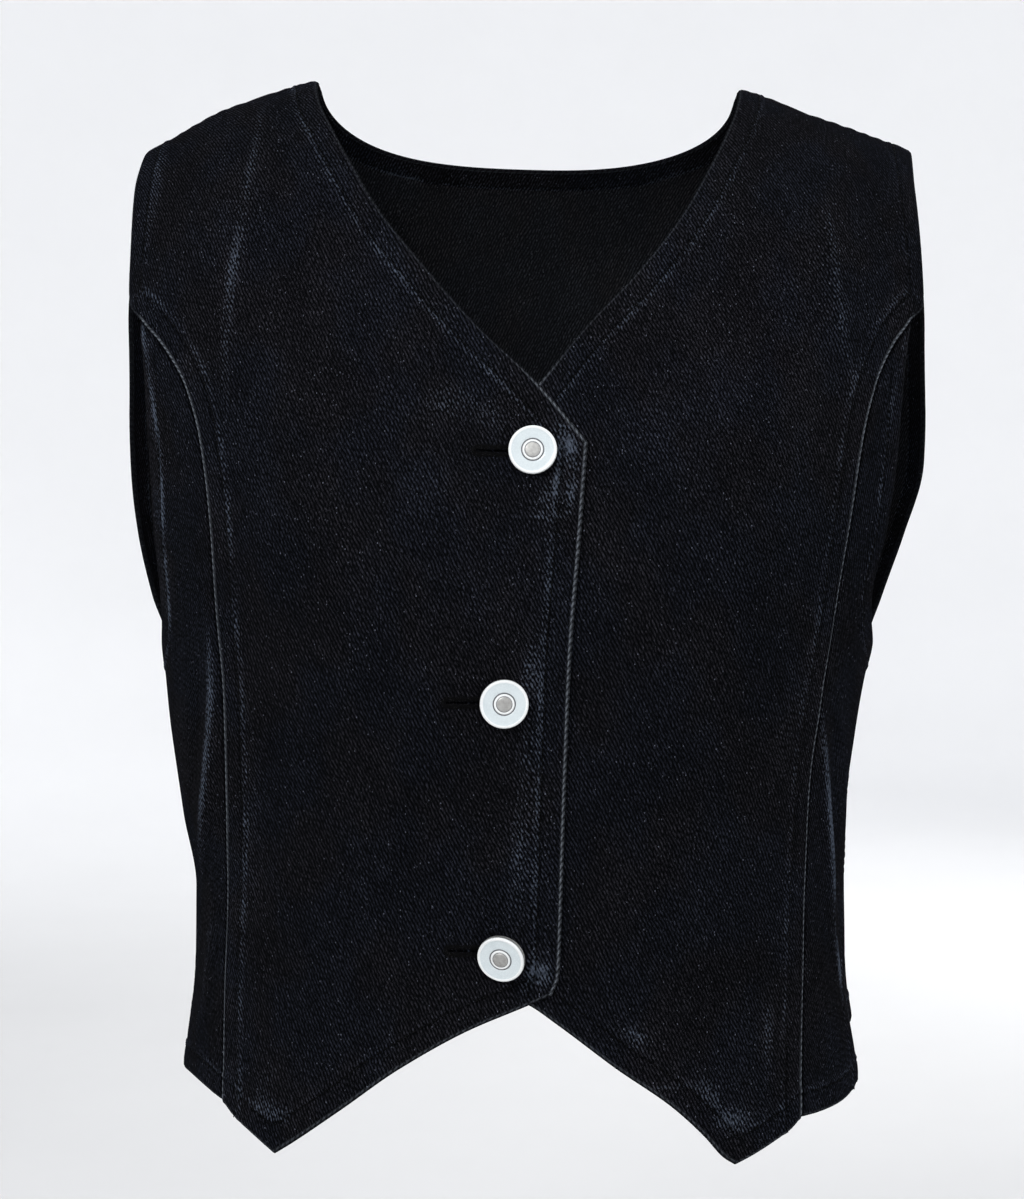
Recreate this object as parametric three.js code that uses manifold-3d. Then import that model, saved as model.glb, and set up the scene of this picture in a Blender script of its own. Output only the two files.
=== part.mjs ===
// Fitted denim vest for a woman's general figure, size S, as it is worn: five cloth panels and three
// tack buttons. Millimetres, +Z up, front towards -Y, wearer's left at +X. The origin lies between the
// shoulder-neck points, in the plane of the shoulder seams.
import * as THREE from "three";
import { mergeVertices } from "three/addons/utils/BufferGeometryUtils.js";
import Module from "manifold-3d";

const wasm = await Module();
wasm.setup();

const { clamp, degToRad, lerp, radToDeg, smoothstep } = THREE.MathUtils;

// Rows of numbers under one line of column names.
const table = (columns, rows) =>
  rows.map((row) => Object.fromEntries(columns.split(" ").map((name, i) => [name, row[i]])));

// Cloth and seams
const CLOTH = 1.3;
const SEAM_GAP = 0.3;
const LAP_LIFT = 2.3; // the lapping front lies this far out over the other one
const LAP_FROM = -66; // x where the lapping front starts to rise
const LAP_FULL = -38; // x where it has risen all the way

// Cross-section of the worn form: half-widths left and right of the centre, and depths to the front
// and the back. The back columns hold behind the side seams.
const SECTION_POWER = 2.35;
const SIDE_BLEND = { from: 77, to: 96 }; // section angles where the front's width gives way to the back's
const SECTIONS = table("z rightFront leftFront rightBack leftBack chest back", [
  [40, 169, 169, 158, 158, 44, 74],
  [0, 169, 169, 160, 160, 46, 76],
  [-44, 169, 169, 163, 163, 62, 80],
  [-95, 169, 169, 172, 172, 84, 86],
  [-126, 164.5, 164.5, 172, 172, 96, 88],
  [-150, 161, 161, 171, 171, 103, 88],
  [-180, 156, 153, 164, 159, 108.5, 85],
  [-205, 150.5, 142.5, 155.5, 147, 110, 80],
  [-226, 145.3, 136.5, 146, 137, 109.5, 74],
  [-259, 142.4, 130.5, 142.4, 130.5, 107, 63],
  [-291, 138.2, 126.4, 138.2, 127, 103.5, 58],
  [-320, 132.7, 125.6, 132.7, 126.6, 101.5, 60],
  [-355, 133.4, 125.4, 133.4, 129.7, 101, 68],
  [-390, 137, 130.4, 137, 132.4, 102.5, 77],
  [-430, 139, 133, 139, 135, 104, 84],
]);
const BUST = { x: 80, z: -178, width: 42, height: 48, rise: 11 };

// Height of the shoulder line at a distance from the centre, on each side.
const SHOULDER_LINE = table("x right left", [
  [85, 2.4, -1.5],
  [98, -0.9, -4.8],
  [112, -5.4, -10.2],
  [123, -9.2, -13.8],
  [135, -15.6, -18.2],
  [147, -22.8, -22.9],
  [155, -27, -26.2],
]);
const SHOULDER_DROP = 75; // the cloth rolls over the shoulder within this height
const NECK_POINT = 85;
const BACK_NECK_DROP = 22;
const BACK_NECK_POWER = 2.6; // how square the back neckline is

// Princess seams, from the hem up to the armhole.
const RIGHT_PRINCESS = table("z x", [
  [-394.5, -115.3],
  [-350, -114.4],
  [-281, -112.6],
  [-244, -112.7],
  [-211, -114.9],
  [-178, -117.2],
  [-148, -121.6],
  [-128, -128],
  [-113, -137.1],
  [-100, -148.4],
]);
const LEFT_PRINCESS = table("z x", [
  [-398.3, 100.7],
  [-341, 102.3],
  [-281, 103.7],
  [-251, 106.5],
  [-222, 111],
  [-189, 115.7],
  [-154, 121.8],
  [-127, 129.3],
  [-112, 136.9],
  [-100, 146],
]);

// Neckline and front edge of each front, from the hem up to the shoulder.
const RIGHT_EDGE = table("z x", [
  [-347.8, 7.5],
  [-341, 10],
  [-314, 11],
  [-271, 12.3],
  [-228, 14],
  [-186, 17.4],
  [-151.8, 20.1],
]);
const RIGHT_NECKLINE = table("z x", [
  [-151.8, 20.1],
  [-130.5, 2.5],
  [-109.4, -18.8],
  [-86, -38.4],
  [-61.7, -56.1],
  [-44.4, -65.9],
  [-24.9, -76],
  [-8.5, -83],
  [2.4, -85],
]);
const LEFT_EDGE = table("z x", [
  [-341, -31],
  [-300, -32],
  [-244, -31],
  [-190, -24],
  [-150, -15.5],
]);
const LEFT_NECKLINE = table("z x", [
  [-150, -15.5],
  [-130.5, 2.5],
  [-109.4, 19.2],
  [-86, 40.1],
  [-61.7, 58],
  [-44.3, 67.7],
  [-28.4, 75.6],
  [-12, 82.4],
  [-1.5, 85],
]);

// Front half of each armhole above the princess seam.
const RIGHT_ARMHOLE = table("z x", [
  [-100, -148.4],
  [-94.5, -153.2],
  [-88, -154.8],
  [-78, -155.3],
  [-46, -156],
  [-26.6, -154],
]);
const LEFT_ARMHOLE = table("z x", [
  [-100, 146],
  [-95.5, 150.8],
  [-88, 152.2],
  [-46, 152.8],
  [-26, 154.5],
]);

// Hems of the fronts, from the front edge to the princess seam, with one low point.
const RIGHT_HEM = table("x z", [
  [7.5, -347.8],
  [-1, -351.5],
  [-23, -361],
  [-48, -375.7],
  [-69, -391.2],
  [-87.3, -404.8],
  [-93.9, -409.4],
]);
const RIGHT_HEM_RISE = table("x z", [
  [-93.9, -409.4],
  [-101.9, -404.5],
  [-109.5, -399.8],
  [-115.3, -394.5],
]);
const LEFT_HEM = table("x z", [
  [-31, -341],
  [-18, -345.5],
  [-1, -351.5],
  [9.6, -358.6],
  [30.7, -374.4],
  [50.9, -388.7],
  [63, -400],
  [70.5, -408.5],
  [74.6, -411.3],
]);
const LEFT_HEM_RISE = table("x z", [
  [74.6, -411.3],
  [80.3, -409.2],
  [89.3, -405.3],
  [96.1, -402],
  [100.7, -398.3],
]);

// Front half of each armhole below the princess seam, along the side-front panel: its share of the
// panel's width, its height, and the section angle there.
const RIGHT_SCOOP = table("share z angle", [
  [0, -100, 59.3],
  [0.06, -112, 59.6],
  [0.12, -134, 60.8],
  [0.18, -157, 62],
  [0.26, -182, 64.3],
  [0.37, -203, 67],
  [0.55, -217, 73],
  [0.78, -224.5, 82],
  [1, -226, 90],
]);
const LEFT_SCOOP = table("share z angle", [
  [0, -100, 57.4],
  [0.06, -110, 56.8],
  [0.12, -132, 56.8],
  [0.18, -155, 57.4],
  [0.26, -180, 59],
  [0.37, -201, 62.5],
  [0.55, -216, 70],
  [0.78, -224, 81],
  [1, -226, 90],
]);

// Side seams and the back half of the armholes, as section angles past the centre of the front.
const SIDE_SEAMS = table("z right left", [
  [-397, 90, 77],
  [-375, 90, 79],
  [-340, 90, 83],
  [-300, 90, 87],
  [-255, 90, 90],
  [-226, 90, 90],
]);
const BACK_ARMHOLE = table("z right left", [
  [-226, 90, 90],
  [-215, 94.5, 94.5],
  [-200, 98, 98],
  [-180, 101, 101],
  [-150, 105, 105],
  [-95, 105.5, 105.5],
  [-60, 103.5, 103.5],
  [-26.3, 109, 109],
]);
const SIDE_HEM = table("side z lift", [
  ["right", -395.5, 5.2],
  ["left", -395.5, -1],
]);
const BACK_HEM_SAG = 6; // how much lower the back's hem is at the centre than at the side seams

// Folds in the cloth as it hangs: a ridge where height is over 0, a trough where it is under 0.
const FOLDS = table("fromX fromZ toX toZ height width", [
  [-101, -18, -107, -75, 1.5, 9],
  [-107, -75, -107, -132, 1.2, 11],
  [-142, -40, -147, -72, -0.9, 8],
  [113, -60, 118.5, -127, 1.6, 9],
  [-30, -196, -96, -232, -0.9, 12],
  [34, -190, 96, -226, -1, 12],
  [-24, -262, -98, -286, -1.1, 13],
  [20, -258, 92, -276, 1, 12],
  [24, -300, 90, -322, -0.9, 14],
]);
const FOLD_END = 0.45; // a fold's height at its ends, as a share of its full height
const BACK_FOLDS = table("fromX fromZ toX toZ height width", [
  [-96, -62, -128, -150, 1.5, 12],
  [92, -58, 131, -142, 1.4, 12],
  [-112, -268, -30, -286, -1.3, 13],
  [24, -262, 108, -276, -1.2, 12],
  [-92, -300, -14, -312, 1.1, 13],
  [10, -306, 88, -322, 1, 14],
]);

// Buttons: place on the overlap, how far the cap's rim stands off the lapping front, and how it tips.
const BUTTONS = table("name x z standoff tipAcross tipDown", [
  ["top", 1, -155.1, 2.1, -1, 10],
  ["middle", -9.5, -243.1, 2.1, 2, -2],
  ["bottom", -8.8, -332.3, 4.4, -16, 17],
]);
const TIP_HEIGHT = 2.8; // from the front under the overlap to where the cap tips on its shank
const CAP_SKIRT = 2.2;
const SHANK_RADIUS = 2.1;
const SHANK_FOOT = 0.7; // from the front under the overlap to the shank
const TACK_HEAD_RADIUS = 4.3;
const TACK_HEAD = 0.9;
const TACK_HEAD_ROUNDING = 0.3;
const TACK_PIN_RADIUS = 1;
const HOLE_EYE_RADIUS = 2.7;
const HOLE_SLIT = 1.2;
const HOLE_LENGTH = 20.5;
const ROUND_STEPS = 20;
const ROUNDING = 1e-3; // a height is over a level when it is this far above it
const WELD = 1e-4; // corners closer than this are one

// Half profile of a cap: its underside by heights over the rim, and its face by heights over the skirt,
// with the raised edge, the sunk ring and the centre disc.
const CAP_UNDERSIDE = table("radius over", [
  [2.1, 0.5],
  [7.5, 0],
  [8.2, 0],
  [8.6, 0.5],
]);
const CAP_FACE = table("radius over", [
  [8.6, 0],
  [8.1, 0.5],
  [7.4, 0.4],
  [4.2, 0.1],
  [3.9, -0.1],
  [3.6, 0.1],
  [2.8, 0.3],
  [2.6, 0.6],
  [1.6, 0.85],
  [0, 0.9],
]);

const DENIM = { color: 0x1f2125, roughness: 0.92, metalness: 0 };
const ENAMEL = { color: 0xf2f2ee, roughness: 0.22, metalness: 0 };
const NICKEL = { color: 0x9a9b9c, roughness: 0.35, metalness: 1 };

// A smooth curve through a table's rows, as a function from one column to another.
function curve(rows, from, to) {
  const sorted = [...rows].sort((a, b) => a[from] - b[from]);
  const keys = sorted.map((row) => row[from]);
  const values = sorted.map((row) => row[to]);
  const rate = (i) => (values[i + 1] - values[i]) / (keys[i + 1] - keys[i]);
  const slopes = keys.map((_, i) => {
    if (i === 0) return rate(0);
    if (i === keys.length - 1) return rate(i - 1);
    const before = rate(i - 1);
    const after = rate(i);
    return before * after <= 0 ? 0 : (2 * before * after) / (before + after);
  });
  return (key) => {
    const at = clamp(key, keys[0], keys[keys.length - 1]);
    const i = Math.min(keys.length - 2, Math.max(0, keys.findIndex((k) => k >= at) - 1));
    const span = keys[i + 1] - keys[i];
    const t = (at - keys[i]) / span;
    return (
      values[i] * (1 + 2 * t) * (1 - t) ** 2 +
      slopes[i] * span * t * (1 - t) ** 2 +
      values[i + 1] * t * t * (3 - 2 * t) +
      slopes[i + 1] * span * t * t * (t - 1)
    );
  };
}

const section = Object.fromEntries(
  Object.keys(SECTIONS[0]).map((name) => [name, curve(SECTIONS, "z", name)]),
);
const shoulderLine = { right: curve(SHOULDER_LINE, "x", "right"), left: curve(SHOULDER_LINE, "x", "left") };
const sideName = (x) => (x < 0 ? "right" : "left");

// Height of the shoulder above a point: between the neck points it goes evenly from side to side.
function shoulderTop(x) {
  if (Math.abs(x) >= NECK_POINT) return shoulderLine[sideName(x)](Math.abs(x));
  const across = (x + NECK_POINT) / (2 * NECK_POINT);
  return lerp(shoulderLine.right(NECK_POINT), shoulderLine.left(NECK_POINT), across);
}

// Half-width of the form on one side. Angle 0 is the centre front, 90 the side, 180 the centre back.
function halfWidth(side, angle, z) {
  const front = section[side + "Front"](z);
  return lerp(front, section[side + "Back"](z), smoothstep(angle, SIDE_BLEND.from, SIDE_BLEND.to));
}

// Section angle of a point on the front or the back half, from its place in the front view.
function angleAt(x, z, half) {
  const width = section[sideName(x) + (half === "front" ? "Front" : "Back")](z);
  const angle = radToDeg(Math.asin(Math.min(1, (Math.abs(x) / width) ** (SECTION_POWER / 2))));
  return half === "front" ? angle : 180 - angle;
}

// A point on the form, from its side, section angle and height: a rounded-off ellipse at every height,
// with the bust on it, that rolls in to the shoulder line at the top.
function formPoint(side, angle, z) {
  const turn = degToRad(angle);
  const sign = side === "right" ? -1 : 1;
  const x = sign * halfWidth(side, angle, z) * Math.sin(turn) ** (2 / SECTION_POWER);
  const reach = Math.abs(Math.cos(turn)) ** (2 / SECTION_POWER);
  const fall = clamp((shoulderTop(x) - z) / SHOULDER_DROP, 0, 1);
  const roll = Math.sqrt(1 - (1 - fall) ** 2);
  if (angle > 90) return new THREE.Vector3(x, section.back(z) * reach * roll, z);
  const bell = ((Math.abs(x) - BUST.x) / BUST.width) ** 2 + ((z - BUST.z) / BUST.height) ** 2;
  const chest = section.chest(z) + BUST.rise * Math.exp(-bell / 2);
  return new THREE.Vector3(x, -chest * reach * roll, z);
}

// The outward direction of the form, from points a little way off on each side.
function formNormal(side, angle, z) {
  const TURN = 0.4;
  const RISE = 0.4;
  const SHOULDER_SPAN = 1; // a point this near the plane of the shoulder seams lies on one
  const other = side === "right" ? "left" : "right";
  const at = (turn, height) => {
    const past = angle + turn;
    if (past < 0) return formPoint(other, -past, height);
    return past > 180 ? formPoint(other, 360 - past, height) : formPoint(side, past, height);
  };
  const around = at(TURN, z).sub(at(-TURN, z));
  const up = at(0, z + RISE).sub(at(0, z - RISE));
  const out = around.cross(up).multiplyScalar(side === "right" ? -1 : 1);
  if (Math.abs(formPoint(side, angle, z).y) < SHOULDER_SPAN) out.y = 0;
  return out.normalize();
}

// Height of the folds at a place seen from the front or the back.
function foldHeight(folds, x, z) {
  return folds.reduce((sum, fold) => {
    const along = new THREE.Vector2(fold.toX - fold.fromX, fold.toZ - fold.fromZ);
    const place = new THREE.Vector2(x - fold.fromX, z - fold.fromZ);
    const share = clamp(place.dot(along) / along.lengthSq(), 0, 1);
    const away = place.addScaledVector(along, -share).length() / fold.width;
    const taper = lerp(FOLD_END, 1, Math.sin(Math.PI * share));
    return sum + fold.height * taper * Math.exp(-away * away);
  }, 0);
}

// A four-sided patch between its edges: each edge is a function from 0 to 1 that gives a pair of
// section coordinates. The bottom and top edges bend only the rows near them.
function patch({ start, end, bottom, top, columns, rows, bend = 3 }) {
  const between = (a, b, t) => [lerp(a[0], b[0], t), lerp(a[1], b[1], t)];
  return rows.map((row) =>
    columns.map((column) => {
      const flat = between(start(row), end(row), column);
      const low = between(start(0), end(0), column);
      const high = between(start(1), end(1), column);
      const lowShare = (1 - row) ** bend;
      const highShare = row ** bend;
      return flat.map(
        (value, i) => value + lowShare * (bottom(column)[i] - low[i]) + highShare * (top(column)[i] - high[i]),
      );
    }),
  );
}

const steps = (count, from = 0, to = 1) =>
  Array.from({ length: count + 1 }, (_, i) => from + ((to - from) * i) / count);

// Points of a cloth panel: places on the form with their outward directions, and the height of the
// cloth's outer face over the form at each.
function panelGrid(flat, heightAt) {
  return flat.map((line) =>
    line.map(([side, angle, z]) => {
      const on = formPoint(side, angle, z);
      const out = formNormal(side, angle, z);
      return { face: on.clone().addScaledVector(out, heightAt(on)), out };
    }),
  );
}

// Pulls a grid's borders in by half a seam's gap.
function insetBorder(grid, names) {
  const last = grid.length - 1;
  const end = grid[0].length - 1;
  return grid.map((line, r) =>
    line.map(({ face, out }, c) => {
      const inward = [];
      if (names.includes("start") && c === 0) inward.push(line[1]);
      if (names.includes("end") && c === end) inward.push(line[end - 1]);
      if (names.includes("top") && r === last) inward.push(grid[last - 1][c]);
      const moved = face.clone();
      for (const inner of inward)
        moved.addScaledVector(inner.face.clone().sub(face).normalize(), SEAM_GAP / 2);
      return { face: moved, out };
    }),
  );
}

// A closed wall of cloth under a grid of points on its outer face.
function clothWall(grid) {
  const rows = grid.length;
  const columns = grid[0].length;
  const outer = grid.flat().map(({ face }) => face);
  const inner = grid.flat().map(({ face, out }) => face.clone().addScaledVector(out, -CLOTH));
  const positions = [...outer, ...inner].flatMap((p) => [p.x, p.y, p.z]);
  const middle = Math.floor(rows / 2) * columns + Math.floor(columns / 2);
  const across = outer[middle + 1].clone().sub(outer[middle]);
  const up = outer[middle + columns].clone().sub(outer[middle]);
  const facesIn = across.cross(up).dot(grid.flat()[middle].out) < 0;
  const at = (layer, r, c) => layer * rows * columns + r * columns + c;
  const faces = [];
  const quad = (a, b, c, d) => faces.push(...(facesIn ? [a, c, b, a, d, c] : [a, b, c, a, c, d]));
  for (let r = 0; r < rows - 1; r++)
    for (let c = 0; c < columns - 1; c++) {
      quad(at(0, r, c), at(0, r, c + 1), at(0, r + 1, c + 1), at(0, r + 1, c));
      quad(at(1, r, c), at(1, r + 1, c), at(1, r + 1, c + 1), at(1, r, c + 1));
    }
  for (let c = 0; c < columns - 1; c++) {
    quad(at(0, 0, c), at(1, 0, c), at(1, 0, c + 1), at(0, 0, c + 1));
    quad(at(0, rows - 1, c), at(0, rows - 1, c + 1), at(1, rows - 1, c + 1), at(1, rows - 1, c));
  }
  for (let r = 0; r < rows - 1; r++) {
    quad(at(0, r, 0), at(0, r + 1, 0), at(1, r + 1, 0), at(1, r, 0));
    quad(at(0, r, columns - 1), at(1, r, columns - 1), at(1, r + 1, columns - 1), at(0, r + 1, columns - 1));
  }
  const geometry = new THREE.BufferGeometry();
  geometry.setAttribute("position", new THREE.Float32BufferAttribute(positions, 3));
  geometry.setIndex(faces);
  geometry.computeVertexNormals();
  return geometry;
}

// Row heights shared by neighbouring panels, so that their seams run side by side.
const HEM_ROWS = 18; // from the hem to the corner of the neckline
const NECK_ROWS = 6; // from there to the top of the princess seam
const STRAP_ROWS = 12; // from there to the shoulder
const SEAM_ROWS = HEM_ROWS + NECK_ROWS;
const FRONT_ROWS = SEAM_ROWS + STRAP_ROWS;
const VENT_ROWS = 3; // the back's hem lies this many rows above the side-front panel's
const CORNER_LEVEL = -152; // height of the neckline's corner
const JUNCTION_LEVEL = -100; // height where the princess seams meet the armholes

// Height at a row of the princess seam and the armhole over it, or of the front edge and neckline.
function rowHeight(row, hem, corner, shoulder) {
  const index = row * FRONT_ROWS;
  if (index <= HEM_ROWS) return lerp(hem, corner, index / HEM_ROWS);
  if (index <= SEAM_ROWS) return lerp(corner, JUNCTION_LEVEL, (index - HEM_ROWS) / NECK_ROWS);
  return lerp(JUNCTION_LEVEL, shoulder, Math.sin(((index - SEAM_ROWS) / STRAP_ROWS) * (Math.PI / 2)));
}

const FRONTS = {
  right: {
    edge: RIGHT_EDGE,
    neckline: RIGHT_NECKLINE,
    princess: RIGHT_PRINCESS,
    armhole: RIGHT_ARMHOLE,
    hem: RIGHT_HEM,
    hemRise: RIGHT_HEM_RISE,
    scoop: RIGHT_SCOOP,
  },
  left: {
    edge: LEFT_EDGE,
    neckline: LEFT_NECKLINE,
    princess: LEFT_PRINCESS,
    armhole: LEFT_ARMHOLE,
    hem: LEFT_HEM,
    hemRise: LEFT_HEM_RISE,
    scoop: LEFT_SCOOP,
  },
};

const lastOf = (rows) => rows[rows.length - 1];

// The seam line between a front and its side-front panel, as [x, z] at a row of the front.
function outerEdge(side) {
  const { princess, armhole } = FRONTS[side];
  const seam = curve(princess, "z", "x");
  const arm = curve(armhole, "z", "x");
  return (row) => {
    const z = rowHeight(row, princess[0].z, CORNER_LEVEL, lastOf(armhole).z);
    return [z > JUNCTION_LEVEL ? arm(z) : seam(z), z];
  };
}

// How far the cloth of the lapping front stands out over the front under it.
const lapLift = (x) => LAP_LIFT * smoothstep(x, LAP_FROM, LAP_FULL);

// Outer points of a front: the form, its folds and the lift over the front under it.
function frontGrid(side) {
  const { edge, neckline, hem, hemRise } = FRONTS[side];
  const edgeLine = curve(edge, "z", "x");
  const neckLine = curve(neckline, "z", "x");
  const hemLine = curve(hem, "x", "z");
  const riseLine = curve(hemRise, "x", "z");
  const corner = lastOf(edge).z;
  const start = (row) => {
    const z = rowHeight(row, edge[0].z, corner, lastOf(neckline).z);
    return [z > corner ? neckLine(z) : edgeLine(z), z];
  };
  const end = outerEdge(side);
  const pointShare = (lastOf(hem).x - hem[0].x) / (lastOf(hemRise).x - hem[0].x);
  const bottom = (column) => {
    const x = lerp(hem[0].x, lastOf(hemRise).x, column);
    return [x, column <= pointShare ? hemLine(x) : riseLine(x)];
  };
  const top = (column) => {
    const x = lerp(start(1)[0], end(1)[0], column);
    return [x, shoulderTop(x)];
  };
  const POINT_COLUMNS = 10; // from the front edge to the hem's point
  const RISE_COLUMNS = 3; // from there to the princess seam
  const columns = [...steps(POINT_COLUMNS, 0, pointShare), ...steps(RISE_COLUMNS, pointShare, 1).slice(1)];
  const flat = patch({ start, end, bottom, top, columns, rows: steps(FRONT_ROWS) });
  const places = flat.map((line) => line.map(([x, z]) => [sideName(x), angleAt(x, z, "front"), z]));
  return panelGrid(places, (p) => foldHeight(FOLDS, p.x, p.z) + (side === "right" ? lapLift(p.x) : 0));
}

// Outer points of a side-front panel, between the princess seam, the side seam and the armhole.
function sideGrid(side) {
  const { scoop } = FRONTS[side];
  const seamEdge = outerEdge(side);
  const sideSeam = curve(SIDE_SEAMS, "z", side);
  const start = (row) => {
    const [x, z] = seamEdge((row * SEAM_ROWS) / FRONT_ROWS);
    return [angleAt(x, z, "front"), z];
  };
  const end = (row) => {
    const z = sideSeamHeight(side, row);
    return [sideSeam(z), z];
  };
  const bottom = (column) => {
    const dip = sideHem(side).lift * Math.sin(Math.PI * column);
    return [lerp(start(0)[0], end(0)[0], column), lerp(start(0)[1], end(0)[1], column) + dip];
  };
  const scoopHeight = curve(scoop, "share", "z");
  const scoopAngle = curve(scoop, "share", "angle");
  const top = (column) => (column === 0 ? start(1) : [scoopAngle(column), scoopHeight(column)]);
  const columns = scoop.map((row) => row.share);
  const flat = patch({ start, end, bottom, top, columns, rows: steps(SEAM_ROWS), bend: 2 });
  const places = flat.map((line) => line.map(([angle, z]) => [side, angle, z]));
  return panelGrid(places, (p) => foldHeight(FOLDS, p.x, p.z));
}

const sideHem = (side) => SIDE_HEM.find((row) => row.side === side);

// Height of the side seam at a row of the side-front panel.
const sideSeamHeight = (side, row) => lerp(sideHem(side).z, BACK_ARMHOLE[0].z, row);

// Outer points of the back, from the wearer's right to the left, between both side seams and armholes.
function backGrid() {
  const SIDE_ROWS = SEAM_ROWS - VENT_ROWS;
  const ARM_ROWS = 14;
  const ROWS = SIDE_ROWS + ARM_ROWS;
  const TIP_FROM = 0.82; // share of the armhole's height where its edge turns to the shoulder's tip
  const NECK_FROM = 0.2; // share of the width where the neckline starts
  const STRAP_COLUMNS = 4;
  const NECK_COLUMNS = 16;
  const underarm = BACK_ARMHOLE[0].z;
  const edge = (side) => {
    const seam = curve(SIDE_SEAMS, "z", side);
    const arm = curve(BACK_ARMHOLE, "z", side);
    const tip = lastOf(FRONTS[side].armhole);
    const tipAngle = angleAt(tip.x, tip.z, "back");
    const sign = side === "right" ? -1 : 1;
    return (row) => {
      const index = row * ROWS;
      if (index <= SIDE_ROWS) {
        const z = sideSeamHeight(side, (VENT_ROWS + index) / SEAM_ROWS);
        return [sign * (180 - seam(z)), z];
      }
      const share = Math.sin(((index - SIDE_ROWS) / ARM_ROWS) * (Math.PI / 2));
      const z = lerp(underarm, tip.z, share);
      const angle = lerp(arm(z), tipAngle, smoothstep(share, TIP_FROM, 1));
      return [sign * (180 - angle), z];
    };
  };
  const start = edge("right");
  const end = edge("left");
  const bottom = (column) => {
    const level = lerp(start(0)[1], end(0)[1], column) - BACK_HEM_SAG * Math.sin(Math.PI * column);
    return [lerp(start(0)[0], end(0)[0], column), level];
  };
  const tips = [FRONTS.right.armhole, FRONTS.left.armhole].map((rows) => lastOf(rows).x);
  const topX = (column) => {
    if (column <= NECK_FROM) return lerp(tips[0], -NECK_POINT, column / NECK_FROM);
    if (column >= 1 - NECK_FROM) return lerp(NECK_POINT, tips[1], (column - 1 + NECK_FROM) / NECK_FROM);
    return NECK_POINT * Math.sin(((column - 0.5) / (0.5 - NECK_FROM)) * (Math.PI / 2));
  };
  const top = (column) => {
    const x = topX(column);
    const dip = BACK_NECK_DROP * Math.sqrt(Math.max(0, 1 - (Math.abs(x) / NECK_POINT) ** BACK_NECK_POWER));
    const z = shoulderTop(x) - dip;
    return [Math.sign(x) * (180 - angleAt(x, z, "back")), z];
  };
  const columns = [
    ...steps(STRAP_COLUMNS, 0, NECK_FROM),
    ...steps(NECK_COLUMNS, NECK_FROM, 1 - NECK_FROM).slice(1),
    ...steps(STRAP_COLUMNS, 1 - NECK_FROM, 1).slice(1),
  ];
  const flat = patch({ start, end, bottom, top, columns, rows: steps(ROWS), bend: 2.5 });
  const places = flat.map((line) =>
    line.map(([turn, z]) => [turn < 0 ? "right" : "left", 180 - Math.abs(turn), z]),
  );
  return panelGrid(places, (p) => foldHeight(BACK_FOLDS, p.x, p.z));
}

// Closed solids, to cut holes through the cloth.
function toSolid(geometry) {
  const bare = geometry.clone();
  bare.deleteAttribute("normal");
  bare.deleteAttribute("uv");
  const merged = mergeVertices(bare, WELD);
  const vertProperties = merged.attributes.position.array;
  const triVerts = new Uint32Array(merged.index.array);
  return new wasm.Manifold(new wasm.Mesh({ numProp: 3, vertProperties, triVerts }));
}

function toGeometry(solid) {
  const { vertProperties, triVerts } = solid.getMesh();
  const geometry = new THREE.BufferGeometry();
  geometry.setAttribute("position", new THREE.BufferAttribute(new Float32Array(vertProperties), 3));
  geometry.setIndex([...triVerts]);
  geometry.computeVertexNormals();
  return geometry;
}

const cutAway = (geometry, tools) =>
  toGeometry(tools.reduce((solid, tool) => solid.subtract(toSolid(tool)), toSolid(geometry)));

// The place of a button on the front under the overlap, with its outward direction.
function buttonPlace({ x, z }) {
  const place = [sideName(x), angleAt(x, z, "front"), z];
  const out = formNormal(...place);
  const point = formPoint(...place).addScaledVector(out, foldHeight(FOLDS, x, z));
  const across = new THREE.Vector3(1, 0, 0).addScaledVector(out, -out.x).normalize();
  return { point, out, across };
}

// Places a shape drawn in X and Y, with Z outward, at a button.
function atButton(geometry, button) {
  const { point, out, across } = buttonPlace(button);
  const up = out.clone().cross(across).normalize();
  return geometry.applyMatrix4(new THREE.Matrix4().makeBasis(across, up, out).setPosition(point));
}

// A round piece from its half profile, turned so that its axis runs outward.
function turned(profile) {
  const points = profile.map(([radius, height]) => new THREE.Vector2(radius, height));
  return new THREE.LatheGeometry(points, ROUND_STEPS).rotateX(Math.PI / 2);
}

// A keyhole: a round eye for the shank and a slit that runs from it away from the front edge.
function keyhole(button) {
  const shape = new THREE.Shape();
  const half = HOLE_SLIT / 2;
  const open = Math.asin(half / HOLE_EYE_RADIUS);
  shape.moveTo(-HOLE_LENGTH, half);
  shape.lineTo(-HOLE_LENGTH, -half);
  shape.absarc(0, 0, HOLE_EYE_RADIUS, Math.PI + open, Math.PI - open, false);
  const depth = 3 * LAP_LIFT;
  const cutter = new THREE.ExtrudeGeometry(shape, { depth, bevelEnabled: false, curveSegments: 10 });
  return atButton(cutter, button);
}

const tackHole = (button) => {
  const radius = TACK_PIN_RADIUS + SEAM_GAP;
  const reach = 3 * CLOTH;
  const profile = [
    [0, -reach],
    [radius, -reach],
    [radius, reach],
    [0, reach],
  ];
  return atButton(turned(profile), button);
};

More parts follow.
